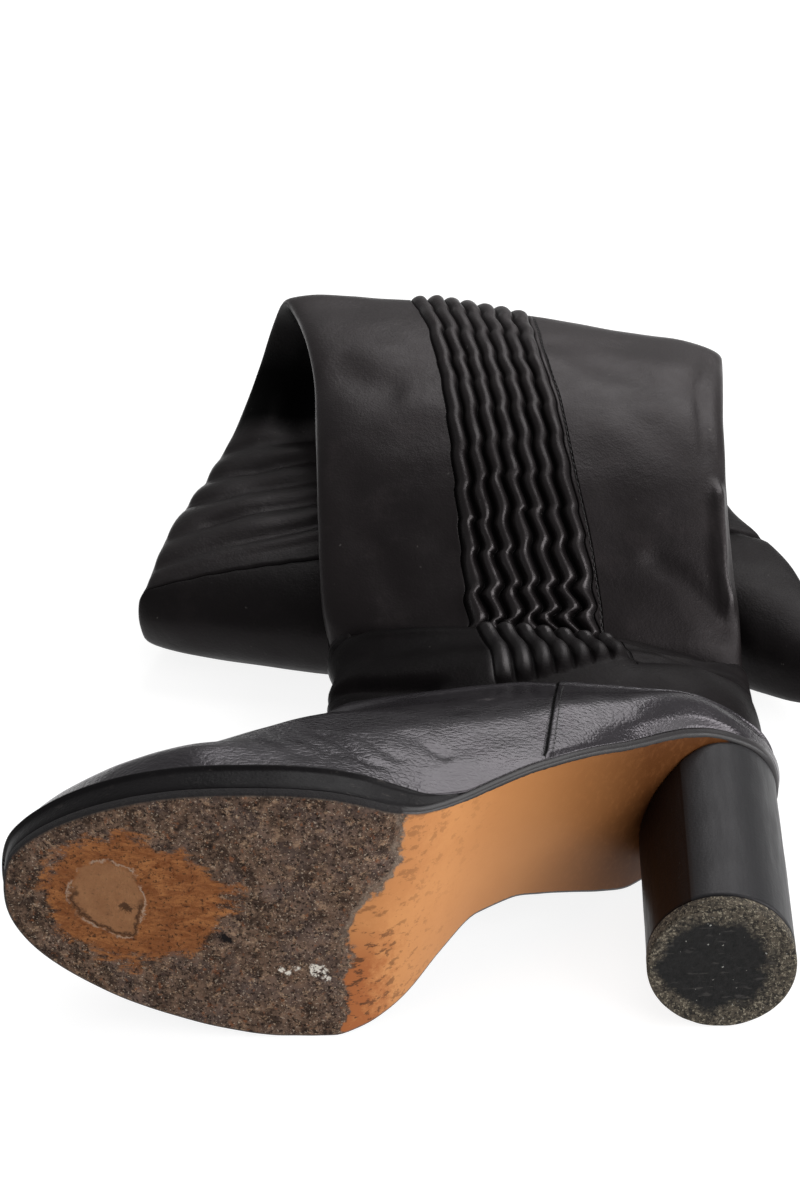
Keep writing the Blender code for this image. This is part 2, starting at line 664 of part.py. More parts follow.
def ankle_row():
    """The fold row at the ankle seam, just above the foot's rim and inside it."""
    row = UPPER_RINGS[-1]
    back_l, back_h, front_l, front_h = row[:4]
    front = place(front_l - SEAM_STEP, 0.0, front_h + GAP)
    back = place(back_l + SEAM_STEP, 0.0, back_h + GAP)
    move = np.array([BOX_MIDDLE_X, BOX_MIDDLE_Y, 0.0])
    first = SHAFT_FOLDS[0]
    return ("ankle_seam", tuple(front + move), tuple(back + move), 0.048, 0.0, *first[5:7], 0.0)


ANKLE_ROWS = 5  # the ankle section ends at this fold row, just above the crease
FOLD_START = 9  # the shaft's fold starts at this fold row
FOLD_STOP = 13  # and ends at this one


def make_shaft(material):
    """The calf from ankle to thigh seam in four lengths, one gap apart, with the ruched panel."""
    beyond = (*THIGH_FOLDS[1], *SHAFT_FOLDS[-1][5:])
    rows = (ankle_row(), *SHAFT_FOLDS, beyond)
    steps = np.linspace(0, len(rows) - 2, 2 * (len(rows) - 2) + 1)
    outer, inner = tube_rings(rows, steps, SHAFT_WALL, True, 3.0, True)
    # The first ring lies in the plane of the foot's rim
    move = np.array([BOX_MIDDLE_X, BOX_MIDDLE_Y, 0.0])
    for ring in (outer, inner):
        ring[0] = flatten_to_rim(ring[0], move)
    cuts = (0, 2 * ANKLE_ROWS, 2 * FOLD_START, 2 * FOLD_STOP, len(steps) - 1)
    names = ("ankle_section", "shaft", "shaft_fold", "shaft_return")
    for name, start, stop in zip(names, cuts[:-1], cuts[1:]):
        stretch = [ring[start : stop + 1] - move for ring in (outer, inner)]
        if start:
            travel = fold_path(rows, steps[start : start + 1])[1]
            for ring in stretch:
                ring[0] += travel[0] * GAP
        make_object(name, *shell(*stretch), material)


def flatten_to_rim(ring, move):
    """Puts a ring into the plane of the foot's rim, one gap above it."""
    x = ring[:, 0] - HEEL_BACK_X
    z = ring[:, 2] - HEEL_BACK_Z
    l = -x * math.cos(LIE_ANGLE) + z * math.sin(LIE_ANGLE)
    flat = ring.copy()
    flat[:, 1] = ring_height(UPPER_RINGS[-1], l) + GAP
    return flat


def make_thigh(material):
    """Thigh section from its seam around the second fold to the open collar."""
    rows = (SHAFT_FOLDS[-2][:5], *THIGH_FOLDS)
    steps = np.concatenate([np.linspace(1, 5, 11), np.arange(6, len(rows))])
    outer, inner = tube_rings(rows, steps, SHAFT_WALL, False, 1.0, False)
    travel = fold_path(rows, steps[:1])[1]
    outer[0] += travel[0] * GAP
    inner[0] += travel[0] * GAP
    move = np.array([BOX_MIDDLE_X, BOX_MIDDLE_Y, 0.0])
    return make_object("thigh_section", *shell(outer - move, inner - move), material)


# ---------------------------------------------------------------- build
def build():
    for obj in list(bpy.data.objects):
        bpy.data.objects.remove(obj, do_unlink=True)
    black_leather = make_material("upper_leather", (0.012, 0.011, 0.012), 0.34)
    soft_leather = make_material("shaft_leather", (0.010, 0.009, 0.010), 0.48)
    band_leather = make_material("platform_leather", (0.010, 0.010, 0.010), 0.38)
    sole_leather = make_material("sole_leather", (0.52, 0.30, 0.13), 0.55)
    heel_cover = make_material("heel_cover", (0.022, 0.013, 0.010), 0.30)
    top_rubber = make_material("top_rubber", (0.045, 0.040, 0.036), 0.85)
    board = make_material("insole_board", (0.30, 0.22, 0.15), 0.80)
    make_outsole(sole_leather)
    make_platform(band_leather)
    make_insole(board)
    make_heel(heel_cover)
    make_top_piece(top_rubber)
    make_upper(black_leather)
    make_shaft(soft_leather)
    make_thigh(soft_leather)


build()
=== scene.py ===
"""Thigh-high boot for the left foot, dressed: leather, ruching, worn sole, seams and stitches.

The foot is drawn in last coordinates: l from the back of the heel to the toe, w from the inner
side to the outer side, h up from the tread. The shaft is a flattened tube that follows a table
of folds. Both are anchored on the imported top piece.
"""

import math
from functools import cached_property, reduce
from types import SimpleNamespace

import bpy
import numpy as np
from mathutils import Matrix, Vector
from mathutils.bvhtree import BVHTree


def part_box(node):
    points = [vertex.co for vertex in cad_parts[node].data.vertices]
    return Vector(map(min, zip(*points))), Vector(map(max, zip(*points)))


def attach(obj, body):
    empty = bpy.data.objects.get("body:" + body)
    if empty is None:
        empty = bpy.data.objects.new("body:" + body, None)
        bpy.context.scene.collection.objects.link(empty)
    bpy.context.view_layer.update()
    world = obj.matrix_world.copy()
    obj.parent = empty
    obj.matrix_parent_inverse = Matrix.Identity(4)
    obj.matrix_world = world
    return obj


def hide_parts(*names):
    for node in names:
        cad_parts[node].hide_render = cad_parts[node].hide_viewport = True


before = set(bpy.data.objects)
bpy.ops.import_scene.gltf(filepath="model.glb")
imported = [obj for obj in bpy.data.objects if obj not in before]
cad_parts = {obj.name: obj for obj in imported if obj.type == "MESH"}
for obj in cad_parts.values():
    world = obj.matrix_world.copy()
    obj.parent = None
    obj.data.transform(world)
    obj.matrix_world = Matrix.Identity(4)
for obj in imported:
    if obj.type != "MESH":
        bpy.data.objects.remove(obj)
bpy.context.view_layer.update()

# ---------------------------------------------------------------- sizes, metres
PLAN_LENGTH = 0.2392
LIE_ANGLE = math.radians(8.0)
HEEL_RADIUS = 0.0225
HEEL_CENTRE_L = 0.0235
TOP_PIECE_HEIGHT = 0.006
OUTSOLE_THICKNESS = 0.0035
UPPER_WALL = 0.0018
SHAFT_WALL = 0.0014
GAP = 0.0003
PLATFORM_START = 0.106
SEAM_STEP = 0.0010  # how far the leg's first ring stands inside the ankle rim
TUBE_ROUNDNESS = 2.3
LEG_WIDTH = 0.146
ANKLE_THICKNESS = 0.048
HEM_WIDTH = 0.012
SEAM_ROW = 0.0019  # the stitched row beside a side seam
PANEL_SEAM = 0.0017  # the seam beside the ruched panel
PANEL_SEAM_SHARE = 0.0118  # its place past the panel's edge, in shares of the leg's width
PANEL_STITCHES = (0.0440, 0.2300)  # the stretch of the leg where that seam shows its stitches
BREAST_EDGE = (0.505, 0.525)  # cosines of the turn at which the heel's breast begins
THIGH_SEAM = 0.3385  # along the leg from the ankle seam
RUCHE_COUNT = 7
RUCHE_HEIGHT = 0.0031
RUCHE_REACH = 0.42  # how far along the leg the channels are drawn
CHANNEL_DEPTH = 0.0008
TUCK_DEPTH = 0.0062  # how far the leg is tucked in behind the ankle fold

# Points of the meshes: fine enough for the creases
FOOT_STATIONS = 151
FOOT_RINGS = 91
SEAM_SPACING = 0.0023  # shares of the foot's length between columns at the side seams
SOLE_STATIONS = 241
SOLE_COLUMNS = 71
BAND_STATIONS = 150
BAND_COLUMNS = 15
HEEL_SIDES = 160
PUFF_COLUMNS = 10
FLANK_COLUMNS = 30
UNDER_COLUMNS = 71
THIGH_RINGS = 161
TOP_COLUMNS = 2 * FLANK_COLUMNS + RUCHE_COUNT * PUFF_COLUMNS + 1
PUFF_PHASE = np.linspace(0, 1, PUFF_COLUMNS + 1)[:-1]

top_low, top_high = (np.array(corner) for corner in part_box("top_piece"))
HEEL_AXIS = (top_low + top_high) / 2
TREAD_Y = top_low[1]
FOLD_ORIGIN = np.array([HEEL_AXIS[0] - 0.0925, TREAD_Y, HEEL_AXIS[2] - HEEL_RADIUS])

# ---------------------------------------------------------------- tables
SOLE_PROFILE = (
    # l, tread, platform, arch, cup
    (0.0000, 0.0930, 0.0000, 0.0000, 0.0004),
    (0.0150, 0.0897, 0.0000, 0.0000, 0.0012),
    (0.0250, 0.0868, 0.0000, 0.0000, 0.0015),
    (0.0330, 0.0815, 0.0000, 0.0003, 0.0014),
    (0.0400, 0.0745, 0.0000, 0.0008, 0.0010),
    (0.0480, 0.0660, 0.0000, 0.0016, 0.0005),
    (0.0560, 0.0585, 0.0000, 0.0026, 0.0000),
    (0.0660, 0.0495, 0.0000, 0.0042, 0.0000),
    (0.0760, 0.0408, 0.0000, 0.0054, 0.0000),
    (0.0860, 0.0325, 0.0000, 0.0060, 0.0000),
    (0.0960, 0.0242, 0.0000, 0.0060, 0.0000),
    (0.1040, 0.0174, 0.0003, 0.0053, 0.0000),
    (0.1060, 0.0157, 0.0012, 0.0050, 0.0000),
    (0.1120, 0.0106, 0.0038, 0.0040, 0.0000),
    (0.1200, 0.0048, 0.0072, 0.0024, 0.0000),
    (0.1280, 0.0013, 0.0092, 0.0010, 0.0000),
    (0.1370, 0.0000, 0.0100, 0.0000, 0.0000),
    (0.1470, 0.0000, 0.0100, 0.0000, 0.0000),
    (0.1580, 0.0000, 0.0100, 0.0000, 0.0000),
    (0.1700, 0.0007, 0.0100, 0.0000, 0.0000),
    (0.1820, 0.0017, 0.0100, 0.0000, 0.0000),
    (0.2000, 0.0038, 0.0098, 0.0000, 0.0000),
    (0.2150, 0.0062, 0.0094, 0.0000, 0.0000),
    (0.2392, 0.0106, 0.0072, 0.0000, 0.0000),
)
SOLE_OUTLINE = (
    # l, inner, outer
    (0.0000, 0.0000, 0.0000),
    (0.0010, -0.0066, 0.0070),
    (0.0040, -0.0130, 0.0136),
    (0.0100, -0.0184, 0.0192),
    (0.0180, -0.0212, 0.0230),
    (0.0300, -0.0228, 0.0268),
    (0.0450, -0.0242, 0.0328),
    (0.0560, -0.0206, 0.0364),
    (0.0660, -0.0166, 0.0394),
    (0.0760, -0.0128, 0.0412),
    (0.0860, -0.0100, 0.0420),
    (0.0960, -0.0106, 0.0415),
    (0.1060, -0.0186, 0.0408),
    (0.1150, -0.0284, 0.0414),
    (0.1250, -0.0346, 0.0440),
    (0.1370, -0.0389, 0.0474),
    (0.1470, -0.0400, 0.0483),
    (0.1550, -0.0407, 0.0482),
    (0.1700, -0.0401, 0.0464),
    (0.1850, -0.0381, 0.0434),
    (0.2000, -0.0350, 0.0384),
    (0.2100, -0.0318, 0.0336),
    (0.2200, -0.0276, 0.0275),
    (0.2280, -0.0228, 0.0212),
    (0.2340, -0.0170, 0.0150),
    (0.2382, -0.0088, 0.0078),
    (0.2392, 0.0000, 0.0000),
)
RING_TURNS = (0.0, 30.0, 60.0, 90.0, 120.0, 150.0, 180.0)
UPPER_RINGS = (
    # back_l, back_h, front_l, front_h, sag, outer half-widths, inner half-widths, hug
    (-0.0006, 0.0995, 0.2368, 0.0315, 0.86,
     (0.0222, 0.0400, 0.0436, 0.0448, 0.0238), (-0.0205, -0.0232, -0.0318, -0.0398, -0.0262), 0.7),
    (-0.0008, 0.1022, 0.2250, 0.0430, 0.62,
     (0.0222, 0.0400, 0.0430, 0.0388, 0.0135), (-0.0202, -0.0262, -0.0345, -0.0378, -0.0200), 0.3),
    (-0.0002, 0.1045, 0.1960, 0.0570, 0.36,
     (0.0210, 0.0372, 0.0395, 0.0378, 0.0160), (-0.0192, -0.0262, -0.0332, -0.0340, -0.0172), 0.0),
    (0.0006, 0.1065, 0.1640, 0.0830, 0.14,
     (0.0192, 0.0318, 0.0320, 0.0262, 0.0130), (-0.0182, -0.0250, -0.0305, -0.0268, -0.0130), 0.0),
    (0.0012, 0.1080, 0.1475, 0.1145, 0.00,
     (0.0172, 0.0262, 0.0238, 0.0160, 0.0086), (-0.0170, -0.0238, -0.0276, -0.0212, -0.0100), 0.0),
)
TUCK_IN = 0.0004  # the foot part's lower edge lies inside the sole's by this
HUG_SHARE = 0.4  # the outer side follows the sole's edge less than the inner side does
RIM_RING = 4.80  # where the rolled rim runs, counted in UPPER_RINGS from the lower edge
SEAM_SHARES = (0.325, 0.515)  # where the side seams run
FOLDS = (
    # left xyz, right xyz, thickness, bow, panel start, panel end, panel relief
    (-0.0300, 0.1270, 0.0390, 0.1120, 0.1215, 0.0240, 0.0490, 0.000, 0.368, 0.688, 0.9),
    (-0.0286, 0.1390, 0.0375, 0.1106, 0.1345, 0.0232, 0.0430, 0.000, 0.352, 0.668, 1.0),
    (-0.0318, 0.1550, 0.0365, 0.1100, 0.1495, 0.0232, 0.0430, 0.000, 0.343, 0.655, 1.0),
    (-0.0318, 0.1700, 0.0330, 0.1092, 0.1650, 0.0190, 0.0310, 0.000, 0.345, 0.652, 0.8),
    (-0.0345, 0.1820, 0.0430, 0.1088, 0.1775, 0.0330, 0.0220, 0.000, 0.347, 0.656, 1.0),
    (-0.0352, 0.1960, 0.0565, 0.1070, 0.1915, 0.0490, 0.0190, 0.000, 0.345, 0.65, 1.0),
    (-0.0360, 0.2190, 0.0745, 0.1062, 0.2120, 0.0655, 0.0180, 0.000, 0.335, 0.62, 0.95),
    (-0.0372, 0.2510, 0.0890, 0.1064, 0.2380, 0.0775, 0.0170, 0.000, 0.315, 0.588, 0.85),
    (-0.0425, 0.2840, 0.0968, 0.1078, 0.2640, 0.0815, 0.0160, 0.000, 0.298, 0.556, 0.7),
    (-0.0500, 0.3100, 0.0972, 0.1085, 0.2830, 0.0808, 0.0150, 0.000, 0.288, 0.556, 0.6),
    (-0.0565, 0.3230, 0.0830, 0.1070, 0.2960, 0.0705, 0.0150, 0.000, 0.288, 0.552, 0.5),
    (-0.0635, 0.3200, 0.0645, 0.1060, 0.2950, 0.0560, 0.0150, 0.000, 0.30, 0.54, 0.45),
    (-0.0720, 0.3000, 0.0500, 0.1045, 0.2850, 0.0465, 0.0160, 0.000, 0.30, 0.54, 0.4),
    (-0.0815, 0.2740, 0.0425, 0.1040, 0.2740, 0.0420, 0.0175, 0.000, 0.30, 0.54, 0.4),
    (-0.0930, 0.2430, 0.0385, 0.1055, 0.2660, 0.0395, 0.0185, 0.000, 0.30, 0.54, 0.3),
    (-0.0992, 0.2150, 0.0322, 0.1095, 0.2500, 0.0375, 0.0190, 0.003, 0.30, 0.54, 0.0),
    (-0.1014, 0.2110, 0.0295, 0.1300, 0.2080, 0.0355, 0.0190, 0.010, 0.30, 0.54, 0.0),
    (-0.1020, 0.2095, 0.0222, 0.1400, 0.1620, 0.0232, 0.0190, 0.027, 0.30, 0.54, 0.0),
    (-0.1012, 0.2125, 0.0137, 0.1390, 0.1610, 0.0127, 0.0190, 0.026, 0.30, 0.54, 0.0),
    (-0.0985, 0.2225, 0.0113, 0.1310, 0.1810, 0.0108, 0.0190, 0.016, 0.30, 0.54, 0.0),
    (-0.0930, 0.2450, 0.0110, 0.1200, 0.2250, 0.0110, 0.0195, 0.006, 0.30, 0.54, 0.0),
    (-0.0860, 0.2780, 0.0112, 0.1120, 0.2680, 0.0112, 0.0200, 0.000, 0.30, 0.54, 0.0),
    (-0.0780, 0.3200, 0.0115, 0.1080, 0.3180, 0.0115, 0.0210, 0.000, 0.30, 0.54, 0.0),
    (-0.0730, 0.3620, 0.0120, 0.1085, 0.3640, 0.0120, 0.0220, 0.000, 0.30, 0.54, 0.0),
    (-0.0700, 0.4020, 0.0125, 0.1090, 0.4040, 0.0125, 0.0230, 0.000, 0.30, 0.54, 0.0),
)
BOW_SHAPE = (
    # share of the width, share of the bow
    (0.00, 0.00),
    (0.16, 0.06),
    (0.28, 0.12),
    (0.42, 0.44),
    (0.62, 0.84),
    (0.80, 1.00),
    (0.90, 0.42),
    (0.95, 0.16),
    (1.00, 0.00),
)


# ---------------------------------------------------------------- curves and noise
def smooth_table(xs, ys, x):
    """Smooth curve through a table, with no overshoot. ys may have columns."""
    xs = np.asarray(xs, float)
    ys = np.asarray(ys, float)
    flat = ys.reshape(len(xs), -1)
    x = np.clip(np.asarray(x, float), xs[0], xs[-1])
    step = np.diff(xs)
    slope = np.diff(flat, axis=0) / step[:, None]
    grade = np.zeros_like(flat)
    before = (2 * step[1:] + step[:-1])[:, None]
    after = (step[1:] + 2 * step[:-1])[:, None]
    same = slope[:-1] * slope[1:] > 0
    safe_low = np.where(same, slope[:-1], 1.0)
    safe_high = np.where(same, slope[1:], 1.0)
    grade[1:-1] = np.where(same, (before + after) / (before / safe_low + after / safe_high), 0.0)
    grade[0] = slope[0]
    grade[-1] = slope[-1]
    k = np.clip(np.searchsorted(xs, x.ravel(), side="right") - 1, 0, len(step) - 1)
    t = ((x.ravel() - xs[k]) / step[k])[:, None]
    rise = flat[k] * (1 + 2 * t) * (1 - t) ** 2 + flat[k + 1] * t * t * (3 - 2 * t)
    lean = step[k][:, None] * (grade[k] * t * (1 - t) ** 2 - grade[k + 1] * t * t * (1 - t))
    return (rise + lean).reshape(x.shape + ys.shape[1:])


def column(table, index):
    """One column of a table, which may be ragged elsewhere."""
    return np.array([row[index] for row in table], float)


def curve(table, index, x):
    """A column of a table, read at x in its first column."""
    return smooth_table(column(table, 0), column(table, index), x)


def columns_at(places, reach, table):
    """All columns of a table at places along it."""
    return np.stack([np.interp(places, reach, table[:, c]) for c in range(table.shape[1])], axis=1)


def reach_along(points):
    """Distance along a polyline of each of its points."""
    return np.concatenate([[0.0], np.cumsum(np.linalg.norm(np.diff(points, axis=0), axis=1))])


def softened(values, passes):
    """Values evened out along their rows, with both ends kept."""
    for _ in range(passes):
        values[1:-1] = 0.25 * values[:-2] + 0.5 * values[1:-1] + 0.25 * values[2:]
    return values


def eased(count):
    """Shares from 0 to 1, closer together at both ends."""
    return (1 - np.cos(np.linspace(0, math.pi, count))) / 2


def ramp(x, start, stop):
    """0 before start, 1 after stop, smooth between."""
    t = np.clip((np.asarray(x, float) - start) / (stop - start), 0, 1)
    return t * t * (3 - 2 * t)


def bell(x, width):
    """1 where x is 0, falling away over a width."""
    return np.exp(-((x / width) ** 2))


def unit(v):
    """Vectors of length 1."""
    return v / np.maximum(np.linalg.norm(v, axis=-1, keepdims=True), 1e-12)


def soft_noise(points, size, seed):
    """Smooth noise between -1 and 1 at points, with lumps of a given size."""
    side = 32
    lattice = np.random.default_rng(seed).uniform(-1, 1, (side, side, side))
    p = np.asarray(points, float) / size
    base = np.floor(p).astype(int)
    t = p - base
    t = t * t * (3 - 2 * t)
    total = 0.0
    for step in np.ndindex(2, 2, 2):
        x, y, z = np.moveaxis((base + step) % side, -1, 0)
        share = np.where(step, t, 1 - t).prod(axis=-1)
        total = total + lattice[x, y, z] * share
    return total


def line_distance(x, y, path):
    """Distance of points to a polyline, and the share along it of the nearest point."""
    best = np.full(np.shape(x), 1e9)
    where = np.zeros(np.shape(x))
    path = np.asarray(path, float)
    lengths = np.linalg.norm(np.diff(path, axis=0), axis=1)
    done = 0.0
    for (ax, ay), (bx, by), length in zip(path[:-1], path[1:], lengths):
        t = np.clip(((x - ax) * (bx - ax) + (y - ay) * (by - ay)) / length**2, 0, 1)
        d = np.hypot(x - ax - t * (bx - ax), y - ay - t * (by - ay))
        near = d < best
        where = np.where(near, (done + t * length) / lengths.sum(), where)
        best = np.where(near, d, best)
        done += length
    return best, where


def trough(x, y, path, width, depth):
    """Relief of one crease along a polyline, fading out at both ends."""
    d, where = line_distance(x, y, path)
    fade = ramp(where, 0.0, 0.18) * (1 - ramp(where, 0.82, 1.0))
    return -depth * bell(d, width) * fade


# ---------------------------------------------------------------- the last
def outline(l):
    """Inner and outer edge of the sole at l."""
    turn = np.arccos(np.clip(1 - 2 * np.asarray(l, float) / PLAN_LENGTH, -1, 1))
    turns = np.arccos(np.clip(1 - 2 * column(SOLE_OUTLINE, 0) / PLAN_LENGTH, -1, 1))
    return (smooth_table(turns, column(SOLE_OUTLINE, i), turn) for i in (1, 2))


def tread_height(l, w):
    """Height of the sole's underside at a point of the plan."""
    base, arch, cup = (curve(SOLE_PROFILE, i, l) for i in (1, 3, 4))
    inner, outer = outline(l)
    half = np.maximum((outer - inner) / 2, 0.004)
    across = np.clip((w - (inner + outer) / 2) / half, -1.2, 1.2)
    return base + arch * ((1 - across) / 2) ** 2 + cup * across**2


def outsole_top(l, w):
    """Top of the outsole at a point of the plan."""
    return tread_height(l, w) + OUTSOLE_THICKNESS


def deck_height(l, w):
    """Top of what the upper stands on."""
    return outsole_top(l, w) + curve(SOLE_PROFILE, 2, l)


def place(l, w, h):
    """Last coordinates to the part's frame."""
    l, w, h = np.broadcast_arrays(np.asarray(l, float), w, h)
    l = l - HEEL_CENTRE_L
    x = HEEL_AXIS[0] - l * math.cos(LIE_ANGLE) + w * math.sin(LIE_ANGLE)
    z = HEEL_AXIS[2] + l * math.sin(LIE_ANGLE) + w * math.cos(LIE_ANGLE)
    return np.stack([x, h + TREAD_Y, z], axis=-1)


def place_grid(grid):
    """A grid of last coordinates, moved to the part's frame."""
    return place(*np.moveaxis(grid, -1, 0))


def floor_limit(l):
    """The furthest inward w that stays above the floor."""
    return -(HEEL_AXIS[2] + (l - HEEL_CENTRE_L) * math.sin(LIE_ANGLE)) / math.cos(LIE_ANGLE) + GAP


def off_floor(grid):
    """Last coordinates with every point held above the floor."""
    grid[..., 1] = np.maximum(grid[..., 1], floor_limit(grid[..., 0]))
    return grid


def lifted(points, height):
    """Points in the part's frame, none of them lower than a height."""
    points[..., 2] = np.maximum(points[..., 2], height)
    return points


# ---------------------------------------------------------------- meshes
def put_in_scene(name, data):
    """A new object in the scene, from a mesh, a lamp or a camera."""
    made = bpy.data.objects.new(name, data)
    bpy.context.collection.objects.link(made)
    return made


def make_piece(name, points, faces, materials, replaced, attributes=None, lined_from=None):
    """A finished piece with its faces outward, riding on the root body.

    Faces whose points all have numbers from lined_from up take the second material.
    """
    mesh = bpy.data.meshes.new(name)
    mesh.from_pydata(points.tolist(), [], turned_out(points, faces))
    for material in materials:
        mesh.materials.append(material)
    if lined_from is not None:
        mesh.polygons.foreach_set("material_index", [int(min(face) >= lined_from) for face in faces])
    for key, values in (attributes or {}).items():
        layer = mesh.attributes.new(key, "FLOAT", "POINT")
        layer.data.foreach_set("value", np.asarray(values, np.float32).ravel())
    mesh.shade_smooth()
    piece = put_in_scene(name, mesh)
    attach(piece, "root")
    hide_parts(*replaced)


def band_faces(first, second, count):
    """Quads between two rings of point numbers that start at first and second."""
    ahead = [(j + 1) % count for j in range(count)]
    return [(first + j, first + n, second + n, second + j) for j, n in enumerate(ahead)]


def shell_faces(rings, count, inner_rings, inner_count):
    """A tube wall: a fine outer grid, an inner grid with half as many points, and both rims."""
    faces = []
    for k in range(rings - 1):
        faces += band_faces(k * count, (k + 1) * count, count)
    start = rings * count
    for k in range(inner_rings - 1):
        row = start + k * inner_count
        faces += [face[::-1] for face in band_faces(row, row + inner_count, inner_count)]
    for outer_row, inner_row, flip in ((0, 0, False), (rings - 1, inner_rings - 1, True)):
        a = outer_row * count
        b = start + inner_row * inner_count
        for j in range(inner_count):
            n = (j + 1) % inner_count
            face = (b + j, b + n, a + (2 * j + 2) % count, a + 2 * j + 1, a + 2 * j)
            faces.append(face[::-1] if flip else face)
    return faces


def surface_normals(grid):
    """Normals of a grid of closed rings, pointing away from each ring's middle."""
    along = np.gradient(grid, axis=0)
    around = np.roll(grid, -1, axis=1) - np.roll(grid, 1, axis=1)
    normal = unit(np.cross(around, along))
    if ((grid - grid.mean(axis=1, keepdims=True)) * normal).sum() < 0:
        normal = -normal
    return normal


def turned_out(points, faces):
    """Faces with outward winding, judged by the signed volume."""
    total = 0.0
    for face in faces:
        a = points[face[0]]
        for i in range(1, len(face) - 1):
            total += np.dot(a, np.cross(points[face[i]], points[face[i + 1]]))
    return faces if total > 0 else [face[::-1] for face in faces]


def make_shell(name, outer, inner, materials, replaced, attributes, inside=None):
    """A hollow piece from its outer and inner rings, and a tree that finds its surface.

    The attributes are given for the outer points. The inner ones get 0, or what inside says.
    """
    faces = shell_faces(*outer.shape[:2], *inner.shape[:2])
    points = np.concatenate([outer.reshape(-1, 3), inner.reshape(-1, 3)])
    lining = np.zeros(inner.size // 3)
    full = {}
    for key, values in attributes.items():
        full[key] = np.concatenate([values.ravel(), lining + (inside or {}).get(key, 0.0)])
    make_piece(name, points, faces, materials, replaced, full, lined_from=outer.size // 3)
    return BVHTree.FromPolygons(points.tolist(), faces)


def make_solid(name, rings, material, replaced, attributes=None, columns=None):
    """A closed piece from rings of points. columns are those of a sole_loft face."""
    faces = loft_faces(*rings.shape[:2], columns)
    make_piece(name, rings.reshape(-1, 3), faces, (material,), (replaced,), attributes)


# ---------------------------------------------------------------- foot
def ring_height(row, l):
    """Height at l of a ring of the foot part: straight, or sagging with the sole."""
    back_l, back_h, front_l, front_h, sag = row[:5]
    share = (l - back_l) / (front_l - back_l)
    start, stop = (deck_height(np.array(at), np.array(0.0)) for at in (0.0, front_l))
    on_sole = np.clip(l, 0.0, PLAN_LENGTH)
    line = back_h + (front_h - back_h) * share
    return line + sag * (deck_height(on_sole, 0.0 * on_sole) - start - (stop - start) * share)


def foot_grid():
    """Rings of the foot part in last coordinates, lower edge first, closer set at the side seams."""
    share = eased(FOOT_STATIONS)
    share = share[(share < SEAM_SHARES[0]) | (share > SEAM_SHARES[1])]
    share = np.sort(np.concatenate([share, np.arange(*SEAM_SHARES, SEAM_SPACING)]))
    turn = np.arccos(np.clip(1 - 2 * share, -1, 1))
    turns = np.radians(RING_TURNS)
    inner, outer = outline(share * PLAN_LENGTH)

    def loop(a, b):
        return np.concatenate([a, b[-2:0:-1]])

    l = np.clip(share * PLAN_LENGTH, GAP, PLAN_LENGTH - GAP)
    w = loop(np.maximum(outer - TUCK_IN, 0.0), np.minimum(inner + TUCK_IN, 0.0))
    keys = [np.stack([loop(l, l), w, deck_height(loop(l, l), w) + GAP], axis=-1)]
    for row in UPPER_RINGS:
        back_l, _, front_l, _, _, outer_widths, inner_widths, hug = row
        l = back_l + (front_l - back_l) * share
        wide = smooth_table(turns, [0.0, *outer_widths, 0.0], turn)
        near = smooth_table(turns, [0.0, *inner_widths, 0.0], turn)
        wide = wide + hug * HUG_SHARE * (outer - wide)
        near = near + hug * (inner - near)
        h = ring_height(row, l)
        keys.append(np.stack([loop(l, l), loop(wide, near), loop(h, h)], axis=-1))
    steps = np.linspace(0, len(keys) - 1, FOOT_RINGS)
    grid = smooth_table(np.arange(len(keys)), np.array(keys), steps)
    softened(grid[1:], 10)
    return off_floor(grid), steps


# Main creases of the foot: l, h along each, then width and depth
FOOT_CREASES = (
    (((0.1500, 0.0470), (0.1420, 0.0360), (0.1350, 0.0262), (0.1270, 0.0215)), 0.0016, 0.0011),
    (((0.1580, 0.0400), (0.1480, 0.0310), (0.1400, 0.0245)), 0.0013, 0.0006),
    (((0.1380, 0.0440), (0.1310, 0.0350), (0.1230, 0.0275)), 0.0018, 0.0007),
    (((0.1680, 0.0420), (0.1580, 0.0300), (0.1500, 0.0225)), 0.0014, 0.0004),
    (((0.1240, 0.0480), (0.1160, 0.0390), (0.1080, 0.0340)), 0.0020, 0.0005),
)
SIDE_SEAM = (
    # l, h
    (0.0737, 0.1120),
    (0.0749, 0.1000),
    (0.0767, 0.0820),
    (0.0786, 0.0640),
    (0.0804, 0.0460),
    (0.0809, 0.0428),
)


